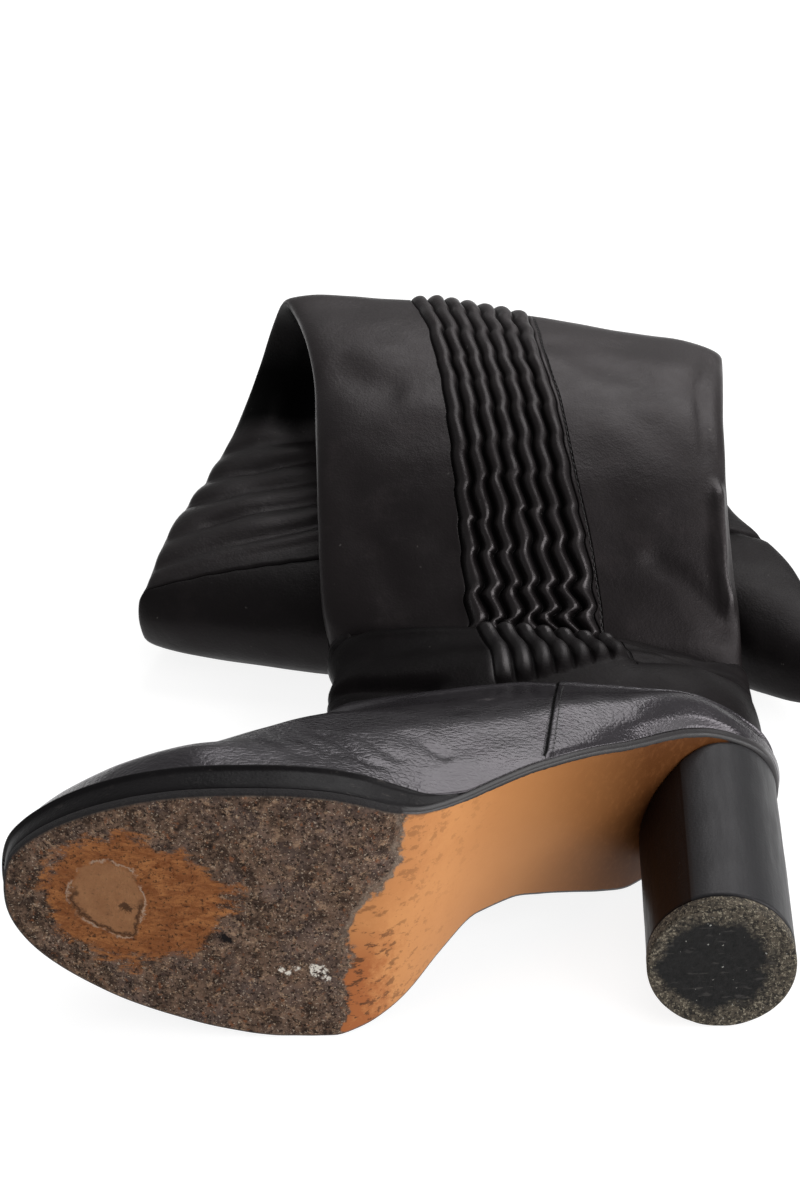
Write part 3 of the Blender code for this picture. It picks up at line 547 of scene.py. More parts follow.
def make_foot(material, lining):
    """The foot part: a hollow shell on the last, with its creases, side seams and rolled rim."""
    grid, steps = foot_grid()
    points = place_grid(grid)
    normal = surface_normals(points)
    l, h = grid[..., 0], grid[..., 2]
    relief = 0.0005 * soft_noise(points, 0.024, 3) + 0.0002 * soft_noise(points, 0.008, 4)
    for path, width, depth in FOOT_CREASES:
        relief = relief + trough(l, h, path, width, depth)
    seam, _ = line_distance(l, h, SIDE_SEAM)
    seam_l, seam_h = np.transpose(SIDE_SEAM[::-1])
    side = np.where(l > np.interp(h, seam_h, seam_l), 1.0, -1.0)
    relief = relief + 0.0006 * ramp(-side * seam, -0.0003, 0.0003) * (1 - ramp(seam, 0.004, 0.022))
    relief = relief - 0.0005 * bell(seam, 0.0005)
    ring = steps[:, None] + 0 * l
    relief = relief + 0.0010 * bell(ring - RIM_RING, 0.11)
    relief = relief * ramp(ring, 0.0, 0.25)
    outer = points + normal * relief[..., None]
    inner = (points - normal * UPPER_WALL)[::2, ::2]
    flat = unit(np.stack([normal[0, :, 0], 0 * normal[0, :, 0], normal[0, :, 2]], axis=-1))
    inner[0] = (points[0] - flat * UPPER_WALL)[::2]
    inner[-1, :, 1] = points[-1, ::2, 1]
    outer, inner = lifted(outer, 0.0002), lifted(inner, 0.0003)
    bend = ramp(l, 0.10, 0.135) * (1 - ramp(l, 0.155, 0.19)) * (1 - ramp(h, 0.05, 0.075))
    attributes = {"flex": bend, "seam": seam * side}
    inside = {"seam": 1.0}
    finishes = (material, lining)
    return make_shell(
        "foot_leather", outer, inner, finishes, ("upper",), attributes, inside
    )


# ---------------------------------------------------------------- sole
TIP_CUT = 1e-5  # the sole's lofts end this far from its tips
# Edges of the outsole and the platform: outset, share of the height
OUTSOLE_EDGE = (
    (-0.0012, 0.0), (-0.0004, 0.06), (0.0, 0.25), (0.0, 0.75), (-0.0001, 0.96), (-0.0003, 1.0),
)
BAND_EDGE = (
    (-0.0002, 0.0), (0.0000, 0.03), (0.0003, 0.2), (0.0005, 0.45), (0.0006, 0.70), (0.0007, 0.82),
    (0.0012, 0.86), (0.0016, 0.90), (0.0017, 0.94), (0.0011, 0.985), (-0.0006, 1.0),
)


def rim_normals(stations):
    """Rim points of the plan and their outward directions, for both edges."""
    inner, outer = outline(stations)
    sides = []
    for edge, sign in ((inner, -1.0), (outer, 1.0)):
        slope = np.gradient(edge, stations)
        out = unit(np.stack([-slope * sign, np.ones_like(slope) * sign], axis=-1))
        sides.append((edge, out))
    return sides


def sole_loft(stations, columns, low, high, profile):
    """Closed loft along the sole. profile lists (outset, share of the height) from low to high."""
    (inner, inner_out), (outer, outer_out) = rim_normals(stations)
    across = np.sin(np.linspace(-math.pi / 2, math.pi / 2, columns))
    first, last = profile[0][0], profile[-1][0]

    def rim(edge, out, outset):
        return stations + out[:, 0] * outset, edge + out[:, 1] * outset

    def face(outset, height):
        al, aw = rim(inner, inner_out, outset)
        bl, bw = rim(outer, outer_out, outset)
        t = (across[None, :] + 1) / 2
        l = al[:, None] * (1 - t) + bl[:, None] * t
        w = aw[:, None] * (1 - t) + bw[:, None] * t
        return np.stack([l, w, height(l, w)], axis=-1)

    def side(edge, out, steps):
        parts = []
        for outset, share in steps:
            l, w = rim(edge, out, outset)
            h = low(l, w) * (1 - share) + high(l, w) * share
            parts.append(np.stack([l, w, h], axis=-1)[:, None])
        return np.concatenate(parts, axis=1)

    rows = [
        face(first, low),
        side(outer, outer_out, profile[1:-1]),
        face(last, high)[:, ::-1],
        side(inner, inner_out, profile[-2:0:-1]),
    ]
    return np.concatenate(rows, axis=1)


def cap_faces(base, count, columns):
    """Close an end ring: one flat face, or for sole_loft strips from side to side, level by level."""
    if columns is None:
        return [tuple(range(base, base + count))]
    sides = (count - 2 * columns) // 2
    faces = [tuple(range(columns)) + (columns, count - 1)]
    for k in range(sides - 1):
        faces.append((columns + k, columns + k + 1, count - 2 - k, count - 1 - k))
    faces.append(tuple(range(columns + sides - 1, 2 * columns + sides + 1)))
    return [tuple(base + index for index in face) for face in faces]


def loft_faces(rings, count, columns=None):
    """Faces of a closed loft: bands between its rings, and both end caps."""
    faces = []
    for k in range(rings - 1):
        faces += band_faces(k * count, (k + 1) * count, count)
    faces += [face[::-1] for face in cap_faces(0, count, columns)]
    return faces + cap_faces((rings - 1) * count, count, columns)


# Where the worn part of the sole begins: w, l
WEAR_EDGE = (
    (-0.0500, 0.1290), (-0.0285, 0.1335), (0.0054, 0.1345),
    (0.0159, 0.1262), (0.0260, 0.1222), (0.0550, 0.1205),
)
# Outlines of the bare patch at the toe and of the rounded spot in it: l, w
TOE_PATCH = (
    (0.2297, 0.0032), (0.2222, 0.0177), (0.2047, 0.0242),
    (0.1868, 0.0238), (0.1683, 0.0150), (0.1695, -0.0026),
    (0.1813, -0.0166), (0.2022, -0.0219), (0.2212, -0.0131),
)
ROUND_PATCH = (
    (0.2153, 0.0126), (0.2084, 0.0150), (0.2014, 0.0139), (0.1986, 0.0092),
    (0.1960, 0.0031), (0.1972, -0.0044), (0.1972, -0.0110), (0.2029, -0.0108),
    (0.2096, -0.0093), (0.2167, -0.0066), (0.2192, -0.0016), (0.2186, 0.0058),
)
# Small dots: l, w, size
WHITE_GRIT = (
    (0.1534, -0.0146, 0.0015), (0.1516, -0.0158, 0.0015), (0.1498, -0.0144, 0.0013),
    (0.1438, -0.0132, 0.0019), (0.1424, -0.0148, 0.0027), (0.1406, -0.0164, 0.0019),
)
DARK_SPOTS = ((0.1716, -0.0060, 0.0019), (0.1702, -0.0066, 0.0017))
HOLE = (0.2016, -0.0010, 0.0023)


def signed_inside(l, w, corners):
    """Distance to a closed outline, positive inside."""
    path = list(corners) + [corners[0]]
    d, _ = line_distance(l, w, path)
    inside = np.zeros(np.shape(l), bool)
    for (ax, ay), (bx, by) in zip(path[:-1], path[1:]):
        crosses = (ay > w) != (by > w)
        at = ax + (w - ay) * (bx - ax) / (by - ay if by != ay else 1.0)
        inside ^= crosses & (l < at)
    return np.where(inside, d, -d)


def make_outsole(material):
    """Leather outsole: worn and gritty under the forefoot, smooth at the waist."""
    stations = PLAN_LENGTH * eased(SOLE_STATIONS)
    stations[0], stations[-1] = TIP_CUT, PLAN_LENGTH - TIP_CUT
    grid = off_floor(sole_loft(stations, SOLE_COLUMNS, tread_height, outsole_top, OUTSOLE_EDGE))
    l, w = grid[..., 0].copy(), grid[..., 1].copy()
    flat = np.stack([l, w, 0 * l], axis=-1)
    under = np.zeros(l.shape)
    under[:, :SOLE_COLUMNS] = 1.0
    ragged = 0.0022 * soft_noise(flat, 0.0060, 11) + 0.0012 * soft_noise(flat, 0.0022, 12)
    wear = l - np.interp(w, *np.transpose(WEAR_EDGE)) + ragged
    patch = signed_inside(l, w, TOE_PATCH) + 1.3 * ragged + 0.0020 * soft_noise(flat, 0.012, 13)
    rounded = signed_inside(l, w, ROUND_PATCH) + 0.20 * ragged
    hole = np.hypot(l - HOLE[0], w - HOLE[1])
    relief = 0.00012 * soft_noise(flat, 0.0030, 14) * ramp(wear, 0, 0.004)
    relief = relief - 0.00035 * ramp(patch, -0.001, 0.003)
    relief = relief + 0.00030 * bell(rounded, 0.0009) - 0.0009 * bell(hole, 0.0012)
    grid[..., 2] -= relief * under
    inner, outer = outline(l)
    attributes = {
        "wear": wear,
        "patch": patch,
        "rounded": rounded,
        "rim": np.minimum(outer - w, w - inner),
        "under": under,
        "length": l,
        "width": w,
    }
    rings = place_grid(grid)
    make_solid("worn_outsole", rings, material, "outsole", attributes, SOLE_COLUMNS)


def make_platform(material):
    """Leather-covered platform band with a soft lip under the foot part."""
    t = np.linspace(0, math.pi / 2, BAND_STATIONS)
    stations = PLATFORM_START + (PLAN_LENGTH - PLATFORM_START) * np.sin(t)
    stations[-1] = PLAN_LENGTH - TIP_CUT
    grid = sole_loft(stations, BAND_COLUMNS, outsole_top, deck_height, BAND_EDGE)
    inner, outer = outline(grid[..., 0])
    tip = 1 - ramp(grid[..., 0], 0.107, 0.128)
    grid[..., 1] -= tip * np.clip(grid[..., 1] - outer + TUCK_IN, 0, 1)
    grid[..., 1] += tip * np.clip(inner + TUCK_IN - grid[..., 1], 0, 1)
    rings = place_grid(off_floor(grid))
    make_solid("platform_cover", rings, material, "platform", columns=BAND_COLUMNS)


# ---------------------------------------------------------------- heel
AXIS_HOLE = 0.0002  # radius of the small flat caps that close a block at its axis


def round_block(rows):
    """Rings of a round block, and the cosine of each point's turn from the front.

    rows lists (radius, height), where the height may be a function of l and w.
    """
    turn = np.linspace(0, 2 * math.pi, HEEL_SIDES, endpoint=False)
    rings = []
    for radius, height in rows:
        l = HEEL_CENTRE_L + radius * np.cos(turn)
        w = radius * np.sin(turn)
        h = height(l, w) if callable(height) else np.full(HEEL_SIDES, height)
        rings.append(np.stack([l, w, h], axis=-1))
    return np.array(rings), np.cos(turn)


def make_heel(material):
    """Covered block heel: leather round the block, with its edge turned along the breast."""
    low = TOP_PIECE_HEIGHT + GAP

    def between(share):
        return lambda l, w: low + (tread_height(l, w) - 2 * GAP - low) * share

    levels = (0.006, *np.linspace(0.02, 0.98, 40), 0.994)
    rows = [(radius, low) for radius in (AXIS_HOLE, 0.012, HEEL_RADIUS - 0.0016)]
    rows += [(HEEL_RADIUS - 0.0004, low + 0.0001)]
    rows += [(HEEL_RADIUS, between(share)) for share in levels]
    rows += [(radius, between(1.0)) for radius in (HEEL_RADIUS - 0.0004, 0.015, 0.0075, AXIS_HOLE)]
    grid, ahead = round_block(rows)
    points = place_grid(grid)
    axis = place(HEEL_CENTRE_L, 0.0, grid[..., 2])
    out = unit(points - axis)
    turned_edge = 0.00022 * ramp(ahead, *BREAST_EDGE)[None, :]
    wall = np.hypot(grid[..., 0] - HEEL_CENTRE_L, grid[..., 1]) > HEEL_RADIUS - 0.0001
    wobble = 0.00012 * soft_noise(points, 0.012, 21)
    points = lifted(points + out * ((wobble - turned_edge) * wall)[..., None], 0.0)
    turn = np.broadcast_to(ahead, grid.shape[:2])
    make_solid("heel_cover", points, material, "heel", {"turn": turn})


def make_top_piece(material):
    """Worn rubber top piece."""
    edge = HEEL_RADIUS - 0.0001
    rows = [(radius, 0.0) for radius in np.linspace(AXIS_HOLE, edge - 0.0012, 26)]
    rows += [(edge - 0.0005, 0.00015), (edge - 0.0001, 0.0006)]
    rows += [(edge, height) for height in (0.0015, 0.0035, 0.0055)]
    rows += [(radius, TOP_PIECE_HEIGHT) for radius in (edge - 0.0003, 0.010, AXIS_HOLE)]
    grid, _ = round_block(rows)
    away = np.hypot(grid[..., 0] - HEEL_CENTRE_L - 0.0022, grid[..., 1] - 0.0006)
    ragged = soft_noise(grid, 0.0030, 31)
    grid[..., 2] += (grid[..., 2] < 0.001) * (0.00012 + 0.00012 * ragged)
    rings = lifted(place_grid(grid), 0.0)
    make_solid("worn_top_piece", rings, material, "top_piece", {"away": away})


# ---------------------------------------------------------------- leg
def ankle_points():
    """Front and back ends of the ankle seam, in the part's frame."""
    back_l, back_h, front_l, front_h = UPPER_RINGS[-1][:4]
    front = place(front_l - SEAM_STEP, 0.0, front_h + GAP)
    back = place(back_l + SEAM_STEP, 0.0, back_h + GAP)
    return front, back


def ankle_depth(share, side):
    """Half-width of the ankle seam at a share of its length, front to back."""
    turn = np.arccos(np.clip(2 * share - 1, -1, 1))
    widths = UPPER_RINGS[-1][5 if side > 0 else 6]
    return np.abs(smooth_table(np.radians(RING_TURNS), [0.0, *widths, 0.0], turn))


def middle_line(rows):
    """Points half way between the left and right edges of fold rows."""
    return (rows[:, :3] + rows[:, 3:6]) / 2


def leg_path():
    """Fold rows in the part's frame, with the distance along the leg of each."""
    front, back = ankle_points()
    rows = [(*front, *back, ANKLE_THICKNESS, 0.0, *FOLDS[0][8:10], 0.0)]
    for fold in FOLDS:
        left, right = np.reshape(fold[:6], (2, 3)) + FOLD_ORIGIN
        rows.append((*left, *right, *fold[6:]))
    rows = np.array(rows)
    return rows, reach_along(middle_line(rows))


# The crease between the leg and the bulge at the ankle: x across, distance along the leg
ANKLE_FOLD = (
    (0.000, 0.0550), (0.005, 0.0510), (0.014, 0.0420), (0.029, 0.0388), (0.051, 0.0375),
    (0.073, 0.0372), (0.082, 0.0362), (0.092, 0.0346), (0.100, 0.0328), (0.110, 0.0306),
    (0.121, 0.0304), (0.134, 0.0366), (0.146, 0.0500),
)


def fold_line(x):
    """Where the ankle fold lies at x across the leg."""
    return curve(ANKLE_FOLD, 1, x)


def ridge_edges(along):
    """Places of the ruching's stitched channels across the panel, in ridges, at each row.

    Each channel is a saw: a long run one way, then a short jog back; the puffs at the
    ankle only lean.
    """
    rng = np.random.default_rng(7)
    knots, places = [0.0], [0.0]
    while knots[-1] < RUCHE_REACH:
        start = knots[-1]
        tight = bell(start - 0.054, 0.016)
        wide = 0.13 + 0.27 * tight - 0.05 * float(ramp(start, 0.10, 0.15))
        run = rng.uniform(0.0084, 0.0118) * (1 - 0.50 * tight)
        jog = rng.uniform(0.0028, 0.0038)
        size = wide * rng.uniform(0.75, 1.2)
        knots += [start + run, start + run + jog]
        places += [-size, size * rng.uniform(0.7, 1.0)]

    def pairs(low, high):
        return np.repeat(rng.uniform(low, high, len(knots) // 2 + 1), 2)[: len(knots)]

    lean = 0.12 * np.cos(math.pi * np.clip(along / 0.044, 0, 1))
    share = ramp(along, 0.036, 0.048)
    edges = []
    for k in range(RUCHE_COUNT + 1):
        own = np.array(knots) + pairs(-0.0016, 0.0016) + 0.0011 * k
        size = np.array(places) * pairs(0.7, 1.25)
        if k in (0, RUCHE_COUNT):
            size = size * 0.45
        edges.append(k + smooth_table(own, size, along) * share + lean * (1 - share))
    return np.array(edges).T


def panel_columns(along, start, stop):
    """Shares across the leg of the front face's points: left flank, ruched panel, right flank."""
    marks = ridge_edges(along) / RUCHE_COUNT
    puffs = [marks[:, [k]] * (1 - PUFF_PHASE) + marks[:, [k + 1]] * PUFF_PHASE
             for k in range(RUCHE_COUNT)]
    panel = start + (stop - start) * np.concatenate([*puffs, marks[:, -1:]], axis=1)
    bend = eased(FLANK_COLUMNS + 1)[:-1]
    right_flank = (1 - (1 - panel[:, -1:]) * bend)[:, ::-1]
    return np.concatenate([panel[:, :1] * bend, panel, right_flank], axis=1)


def leg_rings(along):
    """Outer rings of the leg at distances along it.

    With them come each point's share across the leg, whether it is on the front face, and the
    panel's start, stop and relief on each ring.
    """
    rows, reach = leg_path()
    fine = np.arange(0.0, reach[-1], 0.001)
    table = softened(smooth_table(reach, rows, fine), 14)
    table[0] = rows[0]
    travel = columns_at(along, fine, unit(np.gradient(middle_line(table), axis=0)))
    got = columns_at(along, fine, table)
    left, right = got[:, None, :3], got[:, None, 3:6]
    thick, bow, start, stop, lift = got[:, 6:].T[..., None]
    up = unit(np.cross(unit(right - left), unit(travel)[:, None]))
    top = panel_columns(along, start, stop)
    under = np.broadcast_to(eased(UNDER_COLUMNS)[-2:0:-1], (len(along), UNDER_COLUMNS - 2))
    seam = 1 - ramp(along, 0.0, 0.041)[:, None]
    pieces = []
    for share, side in ((top, 1.0), (under, -1.0)):
        round_off = np.clip(1 - np.abs(2 * share - 1) ** TUBE_ROUNDNESS, 0, 1) ** (1 / TUBE_ROUNDNESS)
        depth = thick / 2 * round_off * (1 - seam) + ankle_depth(share, side) * seam
        spot = left + (right - left) * share[..., None] + up * (side * depth)[..., None]
        spot[..., 1] += curve(BOW_SHAPE, 1, share) * bow
        pieces.append(spot)
    rings = np.concatenate(pieces, axis=1)
    share = np.concatenate([top, under], axis=1)
    front = np.broadcast_to(np.arange(share.shape[1]) < TOP_COLUMNS, share.shape)
    return rings, share, front, (start, stop, lift)


def round_end(t):
    """0 at 0, rising steeply to 1 at 1, like the end of a cushion."""
    return np.sqrt(1 - (1 - np.clip(t, 0, 1)) ** 2)


def ruche_relief(along, share, lift):
    """Height of the ruched ridges over the top face, and how far down into the channels each point lies,
    where the leather paints shade.
    """
    s = along[:, None]
    puff = (1 - np.abs(2 * PUFF_PHASE**1.22 - 1) ** 2.3) ** 0.62
    ridge = (1 - np.abs(2 * PUFF_PHASE**1.10 - 1) ** 1.8) ** 0.95
    taper = ramp(s, 0.045, 0.060) * (1 - 0.85 * ramp(s, 0.095, 0.140))
    puff = puff * (1 - taper) + ridge * taper
    rng = np.random.default_rng(17)
    steps = np.arange(0, 0.45, 0.0055)
    rows = []
    for _ in range(RUCHE_COUNT):
        swell = np.interp(s, steps, rng.uniform(0.74, 1.12, len(steps)))
        rows.append((0.97 + (swell - 0.97) * ramp(s, 0.038, 0.050)) * puff)
    inside = np.concatenate([*rows, 0 * s], axis=1)
    panel = slice(FLANK_COLUMNS, FLANK_COLUMNS + inside.shape[1])
    ends = np.linspace(0.0030, 0.0160, inside.shape[1])
    fade = round_end((s - ends) / 0.0055)
    over = s - fold_line(share[:, panel] * LEG_WIDTH)
    pinch = np.where(over < 0, round_end(-over / 0.0050), ramp(s, 0.0530, 0.0610))
    height = np.zeros(share.shape)
    channel = np.zeros(share.shape)
    height[:, panel] = (inside * RUCHE_HEIGHT * pinch - CHANNEL_DEPTH * (1 - inside)) * (lift * fade)
    # How far down in a channel each point lies: the leather darkens there as painted shade.
    channel[:, panel] = np.clip(1 - inside, 0, 1) ** 1.5 * fade * np.clip(1.4 * lift, 0, 1)
    return height, channel


# The ridge beside the leg's right edge: x from the left edge and distance along the leg
EDGE_RIDGE = ((0.1430, 0.1280), (0.1425, 0.1060), (0.1415, 0.0900), (0.1430, 0.0730))
# Creases of the leg's front face: x and distance along the leg, then width and depth
# (a negative depth stands up as a ridge)
FRONT_CREASES = (
    (((-0.004, 0.0120), (0.007, 0.0102), (0.017, 0.0077), (0.040, 0.0064)), 0.0022, 0.0036),
    (((-0.006, 0.0400), (0.002, 0.0420), (0.010, 0.0475)), 0.0022, 0.0036),
    (((-0.006, 0.0520), (0.003, 0.0480), (0.014, 0.0400)), 0.0018, 0.0026),
    (((0.096, 0.0170), (0.110, 0.0170), (0.126, 0.0215), (0.146, 0.0300)), 0.0028, 0.0026),
    (((0.108, 0.0250), (0.122, 0.0255), (0.134, 0.0310), (0.146, 0.0400)), 0.0022, 0.0016),
    (((0.112, 0.0960), (0.126, 0.0885), (0.133, 0.0806), (0.1391, 0.0744), (0.147, 0.0700)),
     0.0042, 0.0015),
    (EDGE_RIDGE, 0.0019, -0.0050),
    (((0.1425, 0.2060), (0.1375, 0.1700), (0.1385, 0.1450), (0.1400, 0.1260)), 0.0022, 0.0013),
    (((0.030, 0.0700), (0.022, 0.0900), (0.012, 0.1060)), 0.0060, 0.0009),
    (((0.080, 0.1900), (0.100, 0.1760), (0.124, 0.1700)), 0.0080, 0.0010),
    (((0.006, 0.1700), (0.018, 0.1560), (0.034, 0.1500)), 0.0070, 0.0009),
)


def fold_drop(x, s):
    """How far the leather is tucked down behind the ankle fold."""
    return TUCK_DEPTH * ramp(s - fold_line(x), -0.0014, 0.0022) * (1 - ramp(s, 0.0580, 0.0680))


def face_relief(x, s, rings):
    """Soft folds of the leg's front face, with a low swelling before the ankle fold."""
    relief = 0.0
    for path, width, depth in FRONT_CREASES:
        relief = relief + trough(x, s, path, width, depth)
    relief = relief + 0.0006 * bell(s - fold_line(x) + 0.0036, 0.0024)
    return relief + 0.0012 * soft_noise(rings, 0.030, 41) + 0.0005 * soft_noise(rings, 0.012, 42)


def back_relief(x, s, rings):
    """Soft folds of the other face: slack wrinkles past the first fold, drapes inside it."""
    wander = 0.0034 * soft_noise(rings, 0.045, 43) + 0.0010 * soft_noise(rings, 0.014, 44)
    wave = np.abs(np.sin(math.pi * (s + wander + 0.07 * x) / 0.0118))
    slack = ramp(s, 0.2640, 0.2800) * (1 - ramp(s, 0.3140, 0.3260))
    relief = 0.0036 * slack * (wave**0.8 - 0.6) * (0.75 + 0.5 * soft_noise(rings, 0.020, 45))
    drape = np.sin(2 * math.pi * (x + 0.008 * soft_noise(rings, 0.040, 46)) / 0.027)
    relief = relief + 0.0016 * drape * ramp(s, 0.2150, 0.2400) * (1 - ramp(s, 0.2600, 0.2780))
    return relief + 0.0010 * soft_noise(rings, 0.034, 47) + 0.0004 * soft_noise(rings, 0.012, 48)


def gloss_shade_and_dullness(x, s, front, panel_share, ruched):
    """How taut and glossy the leg's leather is at each point, and where it takes painted shade and a
    duller shine.
    """
    low_end = 0.0045 + 0.0125 * np.clip(panel_share, 0, 1)
    on_panel = ramp(panel_share, -0.03, 0.03) * (1 - ramp(panel_share, 0.97, 1.03))
    taut = on_panel * ramp(s, low_end, low_end + 0.005)
    taut = taut * (1 - 0.95 * ramp(s, 0.085, 0.140)) * ruched
    taut = front * np.maximum(taut, 0.75 * trough(x, s, EDGE_RIDGE, 0.0022, -1.0))
    # Painted shade, which also dulls the shine: on the front face over the ankle bulge below the fold, on
    # the back face inside the first fold's loop, on the leg past the second fold, and on the right side
    # of the returning layer.
    low = (1 - ramp(s, 0.046, 0.056)) * (1 - 0.30 * ramp(x, 0.060, 0.100))
    shade_and_dullness = np.where(front, low, 2.0 * ramp(s, 0.06, 0.12) * (1 - ramp(s, 0.257, 0.269)))
    right_end = ramp(s, 0.262, 0.290) * ramp(x, 0.105, 0.130)
    return taut, np.maximum(shade_and_dullness, 0.9 * np.maximum(ramp(s, 0.318, 0.345), right_end))


def leg_shell(name, along, replaced, materials):
    """A stretch of the leg as a hollow piece, with its ruching and creases."""
    rings, share, front, (start, stop, lift) = leg_rings(along)
    normal = surface_normals(rings)
    x = share * LEG_WIDTH
    s = along[:, None] + 0 * share
    side = np.clip(12 * np.minimum(share, 1 - share), 0, 1) ** 0.5
    relief = np.where(front, face_relief(x, s, rings), back_relief(x, s, rings)) * (0.3 + 0.7 * side)
    ruche, channel = ruche_relief(along, share, lift)
    hem = leg_path()[1][-1] - HEM_WIDTH
    relief = relief + ruche + 0.0006 * ramp(s, hem, hem + 0.0008)
    pucker = 0.0004 * np.sin(x / 0.0011) * np.exp(-np.abs(s - THIGH_SEAM) / 0.003)
    relief = relief + pucker - 0.0009 * bell(s - THIGH_SEAM, 0.0012)
    rings[..., 2] -= front * fold_drop(x, s) * (0.4 + 0.6 * side)
    outer = lifted(rings + normal * relief[..., None], 0.0004)
    wall = np.minimum(relief, 0.0) - SHAFT_WALL
    inner = lifted((rings + normal * wall[..., None])[::2, ::2], 0.0006)
    ruched = lift > 0.05
    panel_share = (share - start) / (stop - start)
    taut, shade_and_dullness = gloss_shade_and_dullness(x, s, front, panel_share, ruched)
    beside = front & ruched & (s > 0.012)
    attributes = {
        "along": s,
        "channel": channel,
        "off_panel": np.where(beside, (share - stop) * LEG_WIDTH, 1.0),
        "shade_and_dullness": shade_and_dullness,
        "taut": taut,
    }
    inside = {"off_panel": 1.0}
    tree = make_shell(name, outer, inner, materials, replaced, attributes, inside)
    return along, outer, share, tree


def odd_rows(values):
    """The same stretch with an odd number of rows, so that the lining meets both ends."""
    return values if len(values) % 2 else np.insert(values, 1, (values[0] + values[1]) / 2)


# Rows of the calf part, closer together over the ankle: from, to, step
CALF_ROWS = ((0.0, 0.026, 0.0009), (0.026, 0.070, 0.00062), (0.070, 0.230, 0.00120))
LAST_CALF_ROWS = (0.232, THIGH_SEAM, 70)  # the rest of them, to the thigh seam: from, to, count


def make_leg(material, lining):
    """Both lengths of the leg: the calf part over its folds, and the thigh part past the seam."""
    finishes = (material, lining)
    stretches = [np.arange(*stretch) for stretch in CALF_ROWS] + [np.linspace(*LAST_CALF_ROWS)]
    calf_rows = odd_rows(np.concatenate(stretches))
    calf_nodes = ("ankle_section", "shaft", "shaft_fold", "shaft_return")
    calf = leg_shell("calf_leather", calf_rows, calf_nodes, finishes)
    thigh_rows = odd_rows(np.linspace(THIGH_SEAM + 0.0004, leg_path()[1][-1], THIGH_RINGS))
    thigh = leg_shell("thigh_leather", thigh_rows, ("thigh_section",), finishes)
    return calf, thigh


# ---------------------------------------------------------------- seams and stitches
def onto(tree, points, normals):
    """Points moved along their normals onto a surface, with the surface's own normals."""
    found = []
    for point, normal in zip(points, normals):
        start = point + normal * 0.006
        spot, facing, _, _ = tree.ray_cast(start.tolist(), (-normal).tolist(), 0.02)
        found.append((point, normal) if spot is None else (np.array(spot), np.array(facing)))
    places, facings = (np.array(part) for part in zip(*found))
    facings = facings * np.sign((facings * normals).sum(axis=1, keepdims=True))
    return places, facings


def even_steps(points, step):
    """Points at even distances along a polyline, with their directions."""
    reach = reach_along(points)
    even = columns_at(np.arange(step / 2, reach[-1], step), reach, points)
    return even, unit(np.gradient(even, axis=0))


def nearest(points, spots):
    """The number of the point nearest to each spot."""
    return np.array([int(np.argmin(((points - spot) ** 2).sum(axis=1))) for spot in spots])


def stitch_tree():
    """Geometry nodes: one short thread on each point, turned along the seam."""
    tree = bpy.data.node_groups.new("stitches", "GeometryNodeTree")
    tree.interface.new_socket("Geometry", in_out="INPUT", socket_type="NodeSocketGeometry")
    for name, value in (("Length", 0.002), ("Thickness", 0.0005), ("Jitter", 0.08)):
        made = tree.interface.new_socket(name, in_out="INPUT", socket_type="NodeSocketFloat")
        made.default_value = value
    tree.interface.new_socket("Seed", in_out="INPUT", socket_type="NodeSocketInt").default_value = 5
    tree.interface.new_socket("Thread", in_out="INPUT", socket_type="NodeSocketMaterial")
    tree.interface.new_socket("Geometry", in_out="OUTPUT", socket_type="NodeSocketGeometry")
    given = tree.nodes.new("NodeGroupInput").outputs
    leave = tree.nodes.new("NodeGroupOutput")
    thread = node(tree, "GeometryNodeMeshUVSphere", {"Segments": 8, "Rings": 6, "Radius": 0.5})
    sizes = {0: given["Length"], 1: given["Thickness"], 2: given["Thickness"]}
    size = node(tree, "ShaderNodeCombineXYZ", sizes)
    vary = node(tree, "FunctionNodeRandomValue", {"Seed": given["Seed"]}, data_type="FLOAT")
    for index, sign in ((2, "SUBTRACT"), (3, "ADD")):
        limit = node(tree, "ShaderNodeMath", {0: 1.0, 1: given["Jitter"]}, operation=sign)
        tree.links.new(limit.outputs[0], vary.inputs[index])
    scaled = node(tree, "ShaderNodeVectorMath", {0: size.outputs[0]}, operation="SCALE")
    tree.links.new(vary.outputs[1], scaled.inputs["Scale"])
    named = "GeometryNodeInputNamedAttribute"
    along, out = (node(tree, named, {"Name": key}, data_type="FLOAT_VECTOR") for key in ("along", "out"))
    turned = node(tree, "FunctionNodeAlignRotationToVector", {"Vector": along.outputs[0]}, axis="X")
    facings = {"Rotation": turned.outputs[0], "Vector": out.outputs[0]}
    facing = node(tree, "FunctionNodeAlignRotationToVector", facings, axis="Z", pivot_axis="X")
    placed = node(tree, "GeometryNodeInstanceOnPoints", {
        "Points": given["Geometry"],
        "Instance": thread.outputs["Mesh"],
        "Rotation": facing.outputs[0],
        "Scale": scaled.outputs[0],
    })
    real = node(tree, "GeometryNodeRealizeInstances", {"Geometry": placed.outputs[0]})
    smooth = node(tree, "GeometryNodeSetShadeSmooth", {"Geometry": real.outputs[0]})
    sewn = {"Geometry": smooth.outputs[0], "Material": given["Thread"]}
    tree.links.new(node(tree, "GeometryNodeSetMaterial", sewn).outputs[0], leave.inputs[0])
    return tree


